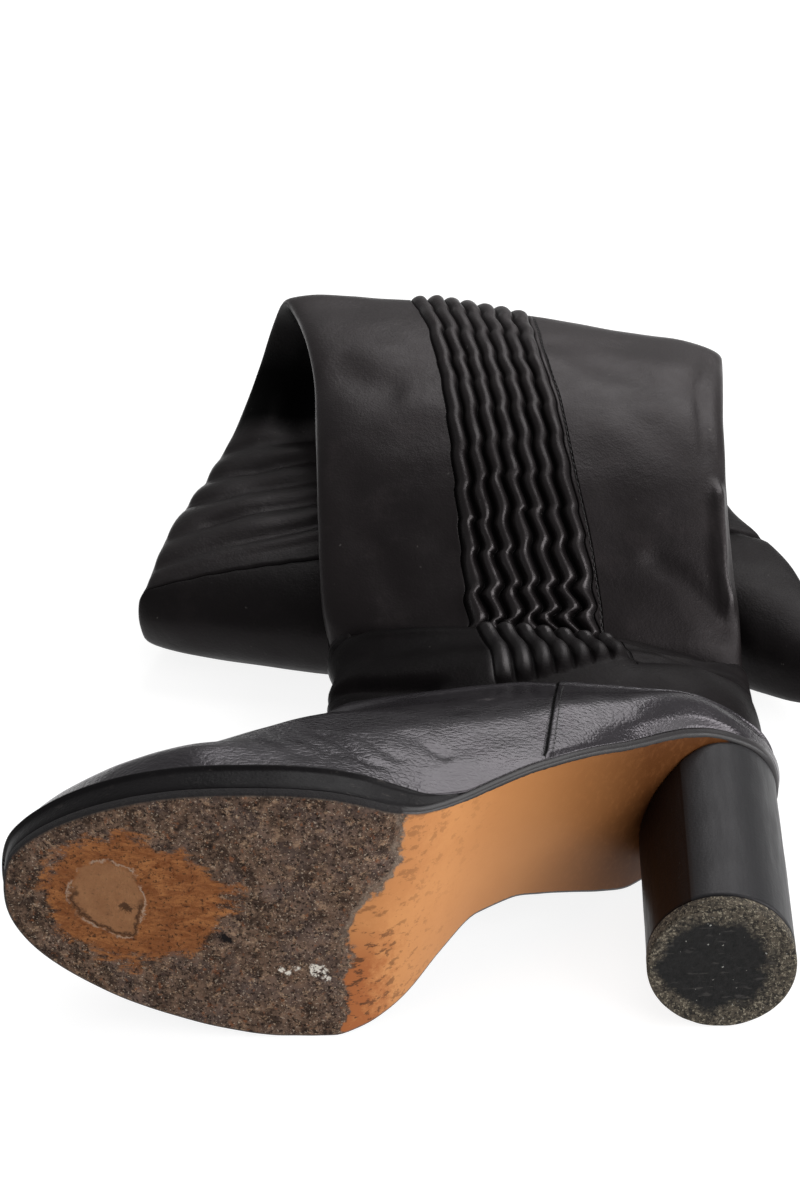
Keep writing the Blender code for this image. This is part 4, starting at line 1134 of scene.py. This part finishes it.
def sew(name, tree, rows, material, length=0.0021, thickness=0.00055):
    """Stitches as one joined mesh. rows lists (points, directions, normals)."""
    points, along, out = (np.concatenate(part) for part in zip(*rows))
    mesh = bpy.data.meshes.new(name + "_points")
    mesh.from_pydata(points.tolist(), [], [])
    for key, values in (("along", along), ("out", out)):
        layer = mesh.attributes.new(key, "FLOAT_VECTOR", "POINT")
        layer.data.foreach_set("vector", values.astype(np.float32).ravel())
    carrier = put_in_scene(name + "_points", mesh)
    modifier = carrier.modifiers.new("sewing", "NODES")
    modifier.node_group = tree
    values = {"Length": length, "Thickness": thickness, "Jitter": 0.08, "Seed": 5, "Thread": material}
    for item in tree.interface.items_tree:
        if item.in_out == "INPUT" and item.name in values:
            modifier[item.identifier] = values[item.name]
    graph = bpy.context.evaluated_depsgraph_get()
    sewn = bpy.data.meshes.new_from_object(carrier.evaluated_get(graph), depsgraph=graph)
    bpy.data.objects.remove(carrier)
    sewn.name = name
    for key in ("along", "out"):
        if key in sewn.attributes:
            sewn.attributes.remove(sewn.attributes[key])
    piece = put_in_scene(name, sewn)
    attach(piece, "root")


def foot_line(tree, path, side, step=0.0012):
    """A line drawn on the foot by l and h, seen from one side, with its normals."""
    reach = reach_along(path)
    l, h = smooth_table(reach, path, np.arange(0, reach[-1], step)).T
    away = place(l, side * 0.07, h)
    inward = unit(place(l, 0.0, h) - away)
    points, facings = [], []
    for start, way in zip(away, inward):
        spot, facing, _, _ = tree.ray_cast(start.tolist(), way.tolist(), 0.12)
        if spot is None:
            continue
        facing = np.array(facing)
        points.append(spot)
        facings.append(facing if facing @ way < 0 else -facing)
    return np.array(points), unit(softened(np.array(facings), 6))


def leg_line(leg, share_at, low, high, step=0.0015):
    """A line drawn along the leg's front face at a share that changes with distance."""
    rows, outer, share, _ = leg
    outer, share, normal = (part[:, :TOP_COLUMNS] for part in (outer, share, surface_normals(outer)))
    points, facings = [], []
    for s in np.arange(low, high, step):
        k = int(np.clip(np.searchsorted(rows, s) - 1, 0, len(rows) - 2))
        t = (s - rows[k]) / (rows[k + 1] - rows[k])
        ring = outer[k] * (1 - t) + outer[k + 1] * t
        shares = share[k] * (1 - t) + share[k + 1] * t
        points.append([np.interp(share_at(s), shares, ring[:, c]) for c in range(3)])
        facings.append(normal[k + 1, int(np.argmin(np.abs(share[k + 1] - share_at(s))))])
    return softened(np.array(points), 1), unit(softened(np.array(facings), 4))


def stitches_beside(tree, points, normals, offset, step=0.0027):
    """Stitch places beside a line, on the surface."""
    across = unit(np.cross(normals, unit(np.gradient(points, axis=0))))
    spots, facings = onto(tree, points + across * offset, normals)
    even, along = even_steps(softened(spots, 2), step)
    out = facings[nearest(spots, even)]
    return lifted(even + out * 0.00005, 0.0004), along, out


def make_seams(foot_tree, calf, thigh, thread):
    """Stitches beside the foot's side seams, along the ruched panel and round the collar's hem."""
    tree = stitch_tree()
    rows = []
    for side in (1.0, -1.0):
        points, normals = foot_line(foot_tree, SIDE_SEAM, side)
        rows.append(stitches_beside(foot_tree, points, normals, SEAM_ROW))
    sew("side_seam_stitches", tree, rows, thread, 0.0017, 0.00036)
    path, reach = leg_path()

    def share_at(s):
        return float(np.interp(s, reach, path[:, 9])) + PANEL_SEAM_SHARE

    points, normals = leg_line(calf, share_at, *PANEL_STITCHES)
    panel_row = stitches_beside(calf[3], points, normals, 0.0)
    sew("panel_stitches", tree, [panel_row], thread, 0.0017, 0.00034)
    rows, outer, _, _ = thigh
    at = int(np.argmin(np.abs(rows - (reach[-1] - HEM_WIDTH + 0.0025))))
    even, along = even_steps(np.concatenate([outer[at], outer[at][:1]]), 0.0032)
    facing = surface_normals(outer)[at][nearest(outer[at], even)]
    hem_row = (lifted(even + facing * 0.00012, 0.0004), along, facing)
    sew("hem_stitches", tree, [hem_row], thread, 0.0024)


# ---------------------------------------------------------------- finishes
def node(tree, kind, links=None, **settings):
    """A node with its settings. Each input takes a value, or a link from a socket."""
    made = tree.nodes.new(kind)
    for key, value in settings.items():
        setattr(made, key, value)
    for socket, value in (links or {}).items():
        target = made.inputs[socket]
        if isinstance(value, bpy.types.NodeSocket):
            tree.links.new(value, target)
        else:
            target.default_value = value
    return made


class Finish:
    """A procedural finish, with short names for the shader nodes it is mixed from."""

    def __init__(self, name, base, roughness):
        self.material = bpy.data.materials.new(name)
        self.material.use_nodes = True
        self.tree = self.material.node_tree
        self.shader = self.tree.nodes["Principled BSDF"]
        self.set("Base Color", (*base, 1.0))
        self.set("Roughness", roughness)

    @cached_property
    def coords(self):
        return node(self.tree, "ShaderNodeTexCoord").outputs["Object"]

    def set(self, socket, value):
        """Gives one of the surface's inputs a value or a pattern."""
        if isinstance(value, bpy.types.NodeSocket):
            self.tree.links.new(value, self.shader.inputs[socket])
        else:
            self.shader.inputs[socket].default_value = value

    def attribute(self, name):
        return node(self.tree, "ShaderNodeAttribute", attribute_name=name).outputs["Fac"]

    def math(self, operation, *values):
        return node(self.tree, "ShaderNodeMath", dict(enumerate(values)), operation=operation).outputs[0]

    def plus(self, first, second):
        return self.math("ADD", first, second)

    def minus(self, first, second):
        return self.math("SUBTRACT", first, second)

    def times(self, first, second):
        return self.math("MULTIPLY", first, second)

    def larger(self, first, second):
        return self.math("MAXIMUM", first, second)

    def spread(self, value, low, high, to_low, to_high):
        """Maps a value from one range to another, clamped."""
        links = {0: value, 1: low, 2: high, 3: to_low, 4: to_high}
        return node(self.tree, "ShaderNodeMapRange", links).outputs[0]

    def share(self, pattern, low, high, most=1.0):
        """0 where a pattern is low, and the most where it is high."""
        return self.spread(pattern, low, high, 0.0, most)

    def groove(self, distance, line, width):
        """1 on a line at a given distance, falling to 0 a width away."""
        off = self.math("ABSOLUTE", self.minus(distance, line))
        return self.spread(off, 0.0, width, 1.0, 0.0)

    def mix(self, share, first, second):
        """The second colour over the first by a share. Colours are patterns or plain."""
        made = node(self.tree, "ShaderNodeMix", {0: share}, data_type="RGBA")
        for index, color in ((6, first), (7, second)):
            if isinstance(color, bpy.types.NodeSocket):
                self.tree.links.new(color, made.inputs[index])
            else:
                made.inputs[index].default_value = (*color, 1.0)
        return made.outputs[2]

    def stain(self, color, pattern, low, high, most, new):
        """A new colour over another where a pattern is high."""
        return self.mix(self.share(pattern, low, high, most), color, new)

    def stretched(self, scale, turn=0.0):
        """Object coordinates drawn out, and turned about the floor's y axis."""
        links = {"Vector": self.coords, "Scale": scale, "Rotation": (0.0, turn, 0.0)}
        return node(self.tree, "ShaderNodeMapping", links).outputs[0]

    def noise(self, scale, detail=3.0, rough=0.5, distortion=0.0, coords=None):
        links = {"Vector": coords or self.coords, "Scale": scale, "Detail": detail, "Roughness": rough}
        links["Distortion"] = distortion
        return node(self.tree, "ShaderNodeTexNoise", links).outputs["Fac"]

    def cells(self, scale, feature="F1", coords=None):
        links = {"Vector": coords or self.coords, "Scale": scale}
        return node(self.tree, "ShaderNodeTexVoronoi", links, feature=feature).outputs["Distance"]

    def relief(self, *layers):
        """The finish's fine relief, lowest layer first: (height, distance, strength)."""
        below = {}
        for height, distance, strength in layers:
            links = {"Height": height, "Distance": distance, "Strength": strength, **below}
            below = {"Normal": node(self.tree, "ShaderNodeBump", links).outputs["Normal"]}
        self.set("Normal", below["Normal"])


def polished_leather():
    """Black smooth leather of the foot: fine pebble grain, flex creases, matte scuffs."""
    finish = Finish("polished_black_leather", (0.010, 0.010, 0.011), 0.34)
    cloud = finish.noise(26, 4, 0.6)
    scuff = finish.share(finish.noise(150, 6, 0.75), 0.60, 0.70)
    worn = finish.times(scuff, finish.share(cloud, 0.45, 0.70, 0.7))
    color = finish.mix(cloud, (0.0060, 0.0052, 0.0064), (0.0140, 0.0120, 0.0145))
    color = finish.mix(worn, color, (0.060, 0.054, 0.052))
    seam = finish.attribute("seam")
    line = finish.share(finish.groove(seam, 0.0, 0.0007), 0.0, 0.5)
    line = finish.larger(line, finish.times(finish.groove(seam, -SEAM_ROW, 0.0004), 0.6))
    finish.set("Base Color", finish.mix(line, color, (0.002, 0.002, 0.002)))
    rough = finish.spread(finish.plus(cloud, finish.times(worn, 0.5)), 0.30, 0.85, 0.21, 0.40)
    finish.set("Roughness", rough)
    finish.set("Specular IOR Level", finish.spread(line, 0.0, 1.0, 0.66, 0.05))
    finish.set("Specular Tint", (1.0, 0.93, 1.0, 1.0))
    stretch = finish.stretched((0.45, 1.0, 1.5))
    cracks = finish.share(finish.cells(560.0, "DISTANCE_TO_EDGE", stretch), 0.0, 0.22)
    finish.relief(
        (finish.cells(1250, "SMOOTH_F1"), 0.00012, 0.45),
        (finish.noise(520, 4, 0.65), 0.00014, 0.6),
        (cracks, 0.00024, finish.plus(0.18, finish.times(finish.attribute("flex"), 0.14))),
        (finish.noise(210, 4, 0.55, 0.6, coords=stretch), 0.0004, 0.18),
    )
    return finish.material


def soft_leather():
    """Black nappa of the leg: soft sheen in clouds, fine grain, painted shade in the channels and over
    the shaded parts, painted light towards the top of the first fold, panel seam.
    """
    finish = Finish("soft_black_leather", (0.010, 0.010, 0.010), 0.5)
    cloud = finish.noise(20, 5, 0.6)
    patch = finish.noise(60, 5, 0.65)
    names = ("channel", "shade_and_dullness", "off_panel", "along", "taut")
    channel_shade, shade_and_dullness, off_panel, along, taut = (finish.attribute(name) for name in names)
    seam = finish.groove(off_panel, PANEL_SEAM, 0.0006)
    # Painted light: the colour grows lighter up the leg towards the top of the first fold and falls back
    # before the fold turns down; the same mask lifts the shine there and lowers it near the ankle.
    rise = finish.spread(along, 0.070, 0.200, -1.0, 1.0)
    rise = finish.times(rise, finish.spread(along, 0.230, 0.246, 1.0, 0.0))
    color = finish.mix(cloud, (0.0044, 0.0036, 0.0038), (0.0118, 0.0092, 0.0096))
    color = finish.stain(color, rise, 0.0, 1.0, 0.5, (0.0260, 0.0210, 0.0215))
    color = finish.stain(color, patch, 0.55, 0.70, 0.6, (0.0160, 0.0124, 0.0130))
    # Painted shade: the colour goes near black deep in the ruching's channels and where the leg is marked
    # as lying in shade.
    color = finish.mix(finish.larger(channel_shade, finish.times(shade_and_dullness, 0.6)), color, (0.0018, 0.0018, 0.0019))
    color = finish.mix(finish.times(seam, 0.8), color, (0.002, 0.002, 0.002))
    color = finish.stain(color, finish.noise(420, 2, 0.5), 0.745, 0.80, 0.45, (0.105, 0.098, 0.092))
    finish.set("Base Color", color)
    rough = finish.spread(finish.plus(cloud, patch), 0.75, 1.25, 0.38, 0.54)
    finish.set("Roughness", finish.minus(rough, finish.times(taut, 0.12)))
    shine = finish.plus(finish.spread(shade_and_dullness, 0.0, 1.0, 0.27, 0.12), finish.times(rise, 0.08))
    shine = finish.minus(shine, finish.share(shade_and_dullness, 1.0, 2.0, 0.12))
    shine = finish.plus(shine, finish.times(taut, finish.spread(shade_and_dullness, 0.0, 1.0, 0.28, 0.34)))
    shine = finish.larger(finish.minus(shine, finish.times(channel_shade, 0.5)), 0.02)
    finish.set("Specular IOR Level", shine)
    finish.set("Specular Tint", (1.0, 0.92, 0.94, 1.0))
    finish.relief(
        (finish.cells(1400, "SMOOTH_F1"), 0.00012, 0.40),
        (finish.noise(560, 3, 0.6), 0.00012, 0.45),
        (finish.noise(85, 4, 0.6), 0.0009, 0.34),
        (finish.minus(1.0, seam), 0.0005, 0.9),
    )
    return finish.material


def black_thread():
    """Waxed black thread."""
    finish = Finish("black_thread", (0.012, 0.012, 0.012), 0.55)
    twist = finish.noise(2200, 2, 0.5)
    finish.set("Base Color", finish.mix(twist, (0.006, 0.006, 0.006), (0.034, 0.032, 0.032)))
    finish.relief((twist, 0.0001, 0.6))
    return finish.material


def soft_lining():
    """Charcoal lining inside the foot and the leg."""
    finish = Finish("charcoal_lining", (0.03, 0.027, 0.026), 0.85)
    cloud = finish.noise(40, 4, 0.6)
    finish.set("Base Color", finish.mix(cloud, (0.020, 0.018, 0.018), (0.040, 0.036, 0.034)))
    finish.relief((finish.noise(900, 3, 0.6), 0.00015, 0.5))
    return finish.material


def band_leather():
    """Leather over the platform: duller, scraped along its edges."""
    finish = Finish("platform_black_leather", (0.010, 0.010, 0.010), 0.42)
    cloud = finish.noise(60, 5, 0.65)
    streak = finish.stretched((0.35, 1.0, 1.0))
    scrape = finish.share(finish.noise(420, 5, 0.75, coords=streak), 0.60, 0.72, 0.8)
    color = finish.mix(cloud, (0.0040, 0.0036, 0.0042), (0.0105, 0.0092, 0.0100))
    color = finish.mix(scrape, color, (0.050, 0.044, 0.041))
    finish.set("Base Color", color)
    finish.set("Roughness", finish.spread(cloud, 0.3, 0.7, 0.34, 0.52))
    finish.set("Specular IOR Level", 0.11)
    finish.relief(
        (finish.cells(1100, "SMOOTH_F1"), 0.00012, 0.45),
        (finish.noise(380, 5, 0.7), 0.00030, 0.55),
    )
    return finish.material


def sole_marks(finish):
    """What the sole's finish is drawn from: its values at each point, and noises of several sizes."""
    names = ("wear", "patch", "rounded", "rim", "length", "width", "under")
    marks = SimpleNamespace(**{name: finish.attribute(name) for name in names})
    marks.flow = finish.stretched((0.4, 1.0, 1.0), 0.14)
    marks.speck = finish.noise(820, 4, 0.7)
    marks.coarse = finish.noise(380, 6, 0.8)
    marks.broad = finish.noise(48, 4, 0.6)
    marks.fibres = finish.noise(380, 6, 0.8, 1.0, coords=marks.flow)
    marks.ragged = finish.minus(finish.noise(230, 6, 0.75), 0.5)
    marks.wear_edge = finish.plus(marks.wear, finish.times(marks.ragged, 0.009))
    marks.dirty = finish.share(marks.wear_edge, -0.0004, 0.0006)
    return marks


def forefoot_colors(finish, marks):
    """Ground-in dirt: dark brown clumps, grey film, pits, rust and pale grit."""
    clump = finish.noise(250, 5, 0.7)
    film = finish.noise(70, 4, 0.65)
    flecks = finish.noise(1400, 2, 0.6)
    rust = finish.noise(520, 3, 0.6)
    worn = finish.stain((0.046, 0.028, 0.020), clump, 0.42, 0.60, 1.0, (0.175, 0.110, 0.076))
    worn = finish.stain(worn, film, 0.46, 0.66, 0.55, (0.140, 0.100, 0.088))
    worn = finish.stain(worn, marks.coarse, 0.55, 0.61, 0.85, (0.330, 0.215, 0.138))
    worn = finish.stain(worn, rust, 0.60, 0.68, 0.60, (0.240, 0.085, 0.034))
    worn = finish.stain(worn, marks.speck, 0.54, 0.60, 0.85, (0.020, 0.013, 0.010))
    worn = finish.stain(worn, flecks, 0.62, 0.67, 0.85, (0.420, 0.335, 0.255))
    pits = finish.spread(finish.cells(520), 0.08, 0.26, 0.9, 0.0)
    return finish.mix(pits, worn, (0.010, 0.007, 0.006))


def toe_colors(finish, marks, worn):
    """Bare patch at the toe, and in it a rounded spot of clean leather with a ragged pale edge."""
    bare = finish.stain((0.170, 0.050, 0.015), marks.fibres, 0.38, 0.62, 1.0, (0.440, 0.180, 0.062))
    bare = finish.stain(bare, marks.broad, 0.42, 0.60, 0.45, (0.200, 0.064, 0.020))
    bare = finish.stain(bare, marks.speck, 0.55, 0.63, 0.85, (0.050, 0.024, 0.014))
    patch_edge = finish.plus(marks.patch, finish.times(finish.minus(marks.fibres, 0.5), 0.020))
    worn = finish.stain(worn, patch_edge, -0.0008, 0.0022, 0.94, bare)
    clean = finish.mix(finish.noise(150, 5, 0.7), (0.205, 0.088, 0.040), (0.430, 0.225, 0.110))
    clean = finish.stain(clean, marks.speck, 0.60, 0.70, 0.6, (0.100, 0.050, 0.028))
    spot_edge = finish.plus(marks.rounded, finish.times(marks.ragged, 0.0070))
    worn = finish.stain(worn, spot_edge, -0.0002, 0.0012, 0.85, clean)
    # Painted shade: a dark line along the lower side of the rounded spot's raised edge.
    shaded_side = finish.share(marks.width, 0.005, 0.001, 0.95)
    shade = finish.times(finish.groove(spot_edge, 0.0010, 0.0011), shaded_side)
    worn = finish.mix(shade, worn, (0.050, 0.024, 0.014))
    broken = finish.share(finish.noise(150, 3, 0.6), 0.44, 0.54, 0.9)
    pale = finish.times(finish.groove(spot_edge, -0.0002, 0.0006), broken)
    return finish.mix(pale, worn, (0.430, 0.320, 0.235))


def dots(finish, marks, places):
    """1 in ragged dots. places lists (along the sole, across it, size)."""
    found = []
    for l, w, size in places:
        along = finish.minus(marks.length, l)
        across = finish.minus(marks.width, w)
        apart = finish.math("SQRT", finish.plus(finish.times(along, along), finish.times(across, across)))
        apart = finish.plus(apart, finish.times(marks.ragged, 4.0 * size))
        found.append(finish.spread(apart, 0.7 * size, size, 1.0, 0.0))
    return reduce(finish.larger, found)


def dotted(finish, marks, worn):
    """The small hole, two dark spots and a few grains of white grit."""
    hole = finish.times(dots(finish, marks, (HOLE,)), 0.8)
    worn = finish.mix(hole, worn, (0.040, 0.020, 0.012))
    worn = finish.mix(dots(finish, marks, DARK_SPOTS), worn, (0.010, 0.008, 0.008))
    broken = finish.share(finish.noise(760, 3, 0.7), 0.46, 0.52, 0.95)
    grains = finish.times(dots(finish, marks, WHITE_GRIT), broken)
    return finish.mix(grains, worn, (0.780, 0.730, 0.650))


def waist_colors(finish, marks):
    """Clean tan leather with painted shade darkening it towards the heel, stained and nicked near the
    worn part.
    """
    tan = finish.mix(marks.broad, (0.450, 0.190, 0.066), (0.535, 0.245, 0.090))
    # Painted shade: the tan darkens from the waist to the heel's breast, where the heel block shades the
    # sole.
    tan = finish.stain(tan, marks.length, 0.108, 0.046, 0.96, (0.085, 0.028, 0.008))
    tan = finish.stain(tan, finish.noise(420, 5, 0.7), 0.50, 0.75, 0.20, (0.360, 0.150, 0.055))
    low_half = finish.spread(marks.width, 0.004, -0.012, 0.25, 1.0)
    stain = finish.plus(marks.wear, finish.times(marks.ragged, 0.034))
    stain = finish.times(finish.share(stain, -0.0150, -0.0050, 0.9), low_half)
    tan = finish.mix(stain, tan, (0.300, 0.092, 0.028))
    near = finish.share(marks.wear, -0.030, -0.004)
    near = finish.times(near, finish.spread(marks.width, 0.014, -0.006, 0.40, 1.0))
    nicks = finish.share(finish.noise(360, 4, 0.7, coords=marks.flow), 0.545, 0.60, 0.9)
    return finish.mix(finish.times(nicks, near), tan, (0.085, 0.034, 0.015))


def wear_line(finish, marks, color):
    """Pale lip where the worn part begins."""
    lip = finish.groove(marks.wear_edge, 0.0014, 0.0022)
    lip = finish.times(lip, finish.spread(marks.coarse, 0.40, 0.52, 0.25, 0.85))
    high_half = finish.spread(marks.width, -0.004, 0.008, 0.25, 1.0)
    return finish.mix(finish.times(lip, high_half), color, (0.235, 0.180, 0.140))


def sole_edge(finish, marks, color):
    """Black edge, also on the sides and under the heel, scraped where the sole is worn."""
    off_rim = finish.plus(marks.rim, finish.times(finish.minus(marks.coarse, 0.5), 0.0010))
    border = finish.spread(marks.length, 0.100, 0.125, 0.0013, 0.0003)
    black = finish.math("LESS_THAN", off_rim, border)
    black = finish.larger(black, finish.minus(1.0, marks.under))
    black = finish.larger(black, finish.spread(marks.length, 0.0190, 0.0205, 1.0, 0.0))
    paint = finish.stain((0.014, 0.012, 0.013), marks.coarse, 0.55, 0.70, 0.5, (0.050, 0.042, 0.038))
    scraped = finish.groove(off_rim, 0.0006, 0.0006)
    scraped = finish.times(scraped, finish.spread(marks.coarse, 0.42, 0.56, 0.1, 0.75))
    color = finish.mix(finish.times(scraped, marks.dirty), color, (0.300, 0.240, 0.190))
    return finish.mix(black, color, paint), black


def worn_sole():
    """Sole leather: clean tan waist, dark gritty forefoot, a bare patch at the toe, black edge."""
    finish = Finish("worn_sole_leather", (0.5, 0.3, 0.15), 0.6)
    marks = sole_marks(finish)
    worn = toe_colors(finish, marks, forefoot_colors(finish, marks))
    worn = dotted(finish, marks, worn)
    color = finish.mix(marks.dirty, waist_colors(finish, marks), worn)
    color = wear_line(finish, marks, color)
    color, black = sole_edge(finish, marks, color)
    finish.set("Base Color", color)
    finish.set("Roughness", finish.mix(marks.dirty, (0.42, 0.42, 0.42), (0.88, 0.88, 0.88)))
    finish.set("Specular IOR Level", finish.spread(black, 0.0, 1.0, 0.1, 0.4))
    grit = finish.minus(finish.plus(marks.coarse, finish.times(marks.speck, 0.8)), 0.9)
    finish.relief(
        (finish.times(marks.dirty, grit), 0.0011, 1.0),
        (finish.noise(900, 2, 0.5), 0.00008, 0.3),
    )
    return finish.material


def covered_heel():
    """Heel cover: satin black leather with a brown-black breast."""
    finish = Finish("heel_black_leather", (0.02, 0.02, 0.02), 0.34)
    turn = finish.attribute("turn")
    streak = finish.stretched((1.0, 0.12, 1.0))
    grain = finish.noise(420, 4, 0.6, coords=streak)
    cloud = finish.noise(40, 3, 0.5)
    color = finish.mix(cloud, (0.0100, 0.0100, 0.0110), (0.0160, 0.0160, 0.0172))
    breast = finish.share(turn, *BREAST_EDGE)
    brown = finish.mix(grain, (0.0060, 0.0030, 0.0022), (0.0100, 0.0052, 0.0036))
    color = finish.mix(breast, color, brown)
    scrape = finish.share(finish.noise(420, 5, 0.75), 0.66, 0.76, 0.6)
    color = finish.mix(scrape, color, (0.070, 0.064, 0.060))
    finish.set("Base Color", color)
    finish.set("Roughness", finish.spread(grain, 0.3, 0.7, 0.38, 0.52))
    finish.set("Specular IOR Level", finish.spread(breast, 0.0, 1.0, 0.23, 0.10))
    finish.set("Specular Tint", (1.0, 0.95, 0.98, 1.0))
    finish.relief(
        (grain, 0.00015, 0.5),
        (finish.cells(1200, "SMOOTH_F1"), 0.00010, 0.35),
    )
    return finish.material


def worn_rubber():
    """Top piece: ground-in grit, paler round the edge."""
    finish = Finish("worn_rubber", (0.05, 0.045, 0.04), 0.9)
    away = finish.attribute("away")
    coarse = finish.noise(480, 6, 0.8)
    speck = finish.noise(1300, 3, 0.7)
    broad = finish.noise(110, 5, 0.7)
    lines = finish.stretched((0.25, 1.0, 1.0), 0.4)
    scratch = finish.share(finish.noise(620, 3, 0.6, coords=lines), 0.60, 0.66, 0.5)
    reach = finish.plus(away, finish.times(finish.minus(broad, 0.5), 0.016))
    inner = finish.stain((0.006, 0.006, 0.006), coarse, 0.40, 0.66, 1.0, (0.018, 0.017, 0.017))
    inner = finish.mix(scratch, inner, (0.070, 0.064, 0.060))
    outer = finish.stain((0.014, 0.012, 0.010), coarse, 0.40, 0.60, 1.0, (0.120, 0.098, 0.072))
    outer = finish.stain(outer, speck, 0.55, 0.62, 0.85, (0.330, 0.290, 0.215))
    outer = finish.stain(outer, finish.noise(760, 3, 0.6), 0.56, 0.62, 0.9, (0.012, 0.010, 0.009))
    color = finish.stain(inner, reach, 0.0150, 0.0184, 1.0, outer)
    color = finish.stain(color, finish.noise(640, 2, 0.5), 0.725, 0.750, 0.9, (0.460, 0.450, 0.420))
    finish.set("Base Color", color)
    finish.set("Specular IOR Level", 0.3)
    finish.relief(
        (coarse, 0.0010, 1.0),
        (speck, 0.0004, 0.9),
    )
    return finish.material


def sock_leather():
    """Thin brown leather over the insole."""
    finish = Finish("sock_leather", (0.05, 0.04, 0.035), 0.7)
    cloud = finish.noise(40, 4, 0.6)
    finish.set("Base Color", finish.mix(cloud, (0.035, 0.028, 0.024), (0.070, 0.055, 0.046)))
    finish.relief((finish.cells(900, "SMOOTH_F1"), 0.0001, 0.4))
    return finish.material


# ---------------------------------------------------------------- build
def dress_insole(material):
    """The insole keeps its own shape and gets a better finish."""
    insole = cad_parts["insole"]
    insole.data.materials.clear()
    insole.data.materials.append(material)


lining = soft_lining()
foot_tree = make_foot(polished_leather(), lining)
calf, thigh = make_leg(soft_leather(), lining)
make_platform(band_leather())
make_outsole(worn_sole())
make_heel(covered_heel())
make_top_piece(worn_rubber())
make_seams(foot_tree, calf, thigh, black_thread())
dress_insole(sock_leather())


# ---------------------------------------------------------------- floor, light, camera
FLOOR_REACH = 4.0
# Soft square lights: name, place, aim, size, power
LIGHTS = (
    ("top_behind", (0.45, 0.85, 1.38), (0.0, 0.0, 0.0), 1.3, 18.0),
    ("front_right", (1.85, -1.30, 1.10), (0.0, 0.0, 0.05), 1.8, 40.0),
    ("right_side", (1.60, -0.15, 0.45), (0.0, 0.0, 0.05), 0.7, 9.0),
)
CAMERA_PLACE = (0.0377, -0.9807, 0.6196)
CAMERA_HEADING = math.radians(-3.243)
CAMERA_DIP = math.radians(30.874)
CAMERA_ROLL = math.radians(-3.3)
CAMERA_LENS = 97.95  # millimetres, on a 36 mm sensor


def make_floor():
    """White floor that also glows a little, so that it stays white in the shade."""
    mesh = bpy.data.meshes.new("floor")
    corners = [(x * FLOOR_REACH, y * FLOOR_REACH, 0) for x, y in ((-1, -1), (1, -1), (1, 1), (-1, 1))]
    mesh.from_pydata(corners, [], [(0, 1, 2, 3)])
    floor = put_in_scene("floor", mesh)
    finish = Finish("white_floor", (0.27, 0.269, 0.267), 0.9)
    finish.set("Emission Color", (1.0, 1.0, 1.0, 1.0))
    finish.set("Emission Strength", 0.87)
    mesh.materials.append(finish.material)


def set_frame(thing, x, y, z, origin):
    """Turns a thing to three axes and puts it at a place."""
    rows = np.eye(4)
    rows[:3, 0], rows[:3, 1], rows[:3, 2], rows[:3, 3] = x, y, z, origin
    thing.matrix_world = Matrix(rows.tolist())


def soft_light(name, origin, aim, size, power):
    lamp = bpy.data.lights.new(name, "AREA")
    lamp.shape = "SQUARE"
    lamp.size = size
    lamp.energy = power
    back = unit(np.array(origin, float) - np.array(aim, float))
    side = unit(np.cross((0.0, 1.0, 0.02), back))
    set_frame(put_in_scene(name, lamp), side, np.cross(back, side), back, origin)


def make_camera():
    """Camera in front of the boot and above it, slightly rolled."""
    ahead, aside = math.cos(CAMERA_HEADING), math.sin(CAMERA_HEADING)
    look = np.array([aside * math.cos(CAMERA_DIP), ahead * math.cos(CAMERA_DIP), -math.sin(CAMERA_DIP)])
    level = np.array([ahead, -aside, 0.0])
    up = np.cross(level, look)
    right = level * math.cos(CAMERA_ROLL) + up * math.sin(CAMERA_ROLL)
    top = -level * math.sin(CAMERA_ROLL) + up * math.cos(CAMERA_ROLL)
    lens = bpy.data.cameras.new("camera")
    lens.sensor_width = 36.0
    lens.lens = CAMERA_LENS
    lens.clip_end = 20
    camera = put_in_scene("camera", lens)
    set_frame(camera, right, top, -look, CAMERA_PLACE)
    bpy.context.scene.camera = camera


def make_studio():
    """White surroundings, dim enough to leave the light to the lamps."""
    world = bpy.data.worlds.new("studio")
    world.use_nodes = True
    background = world.node_tree.nodes["Background"]
    background.inputs["Color"].default_value = (1.0, 1.0, 1.0, 1.0)
    background.inputs["Strength"].default_value = 0.30
    bpy.context.scene.world = world
    bpy.context.scene.view_settings.view_transform = "Standard"


make_floor()
for light in LIGHTS:
    soft_light(*light)
make_studio()
make_camera()
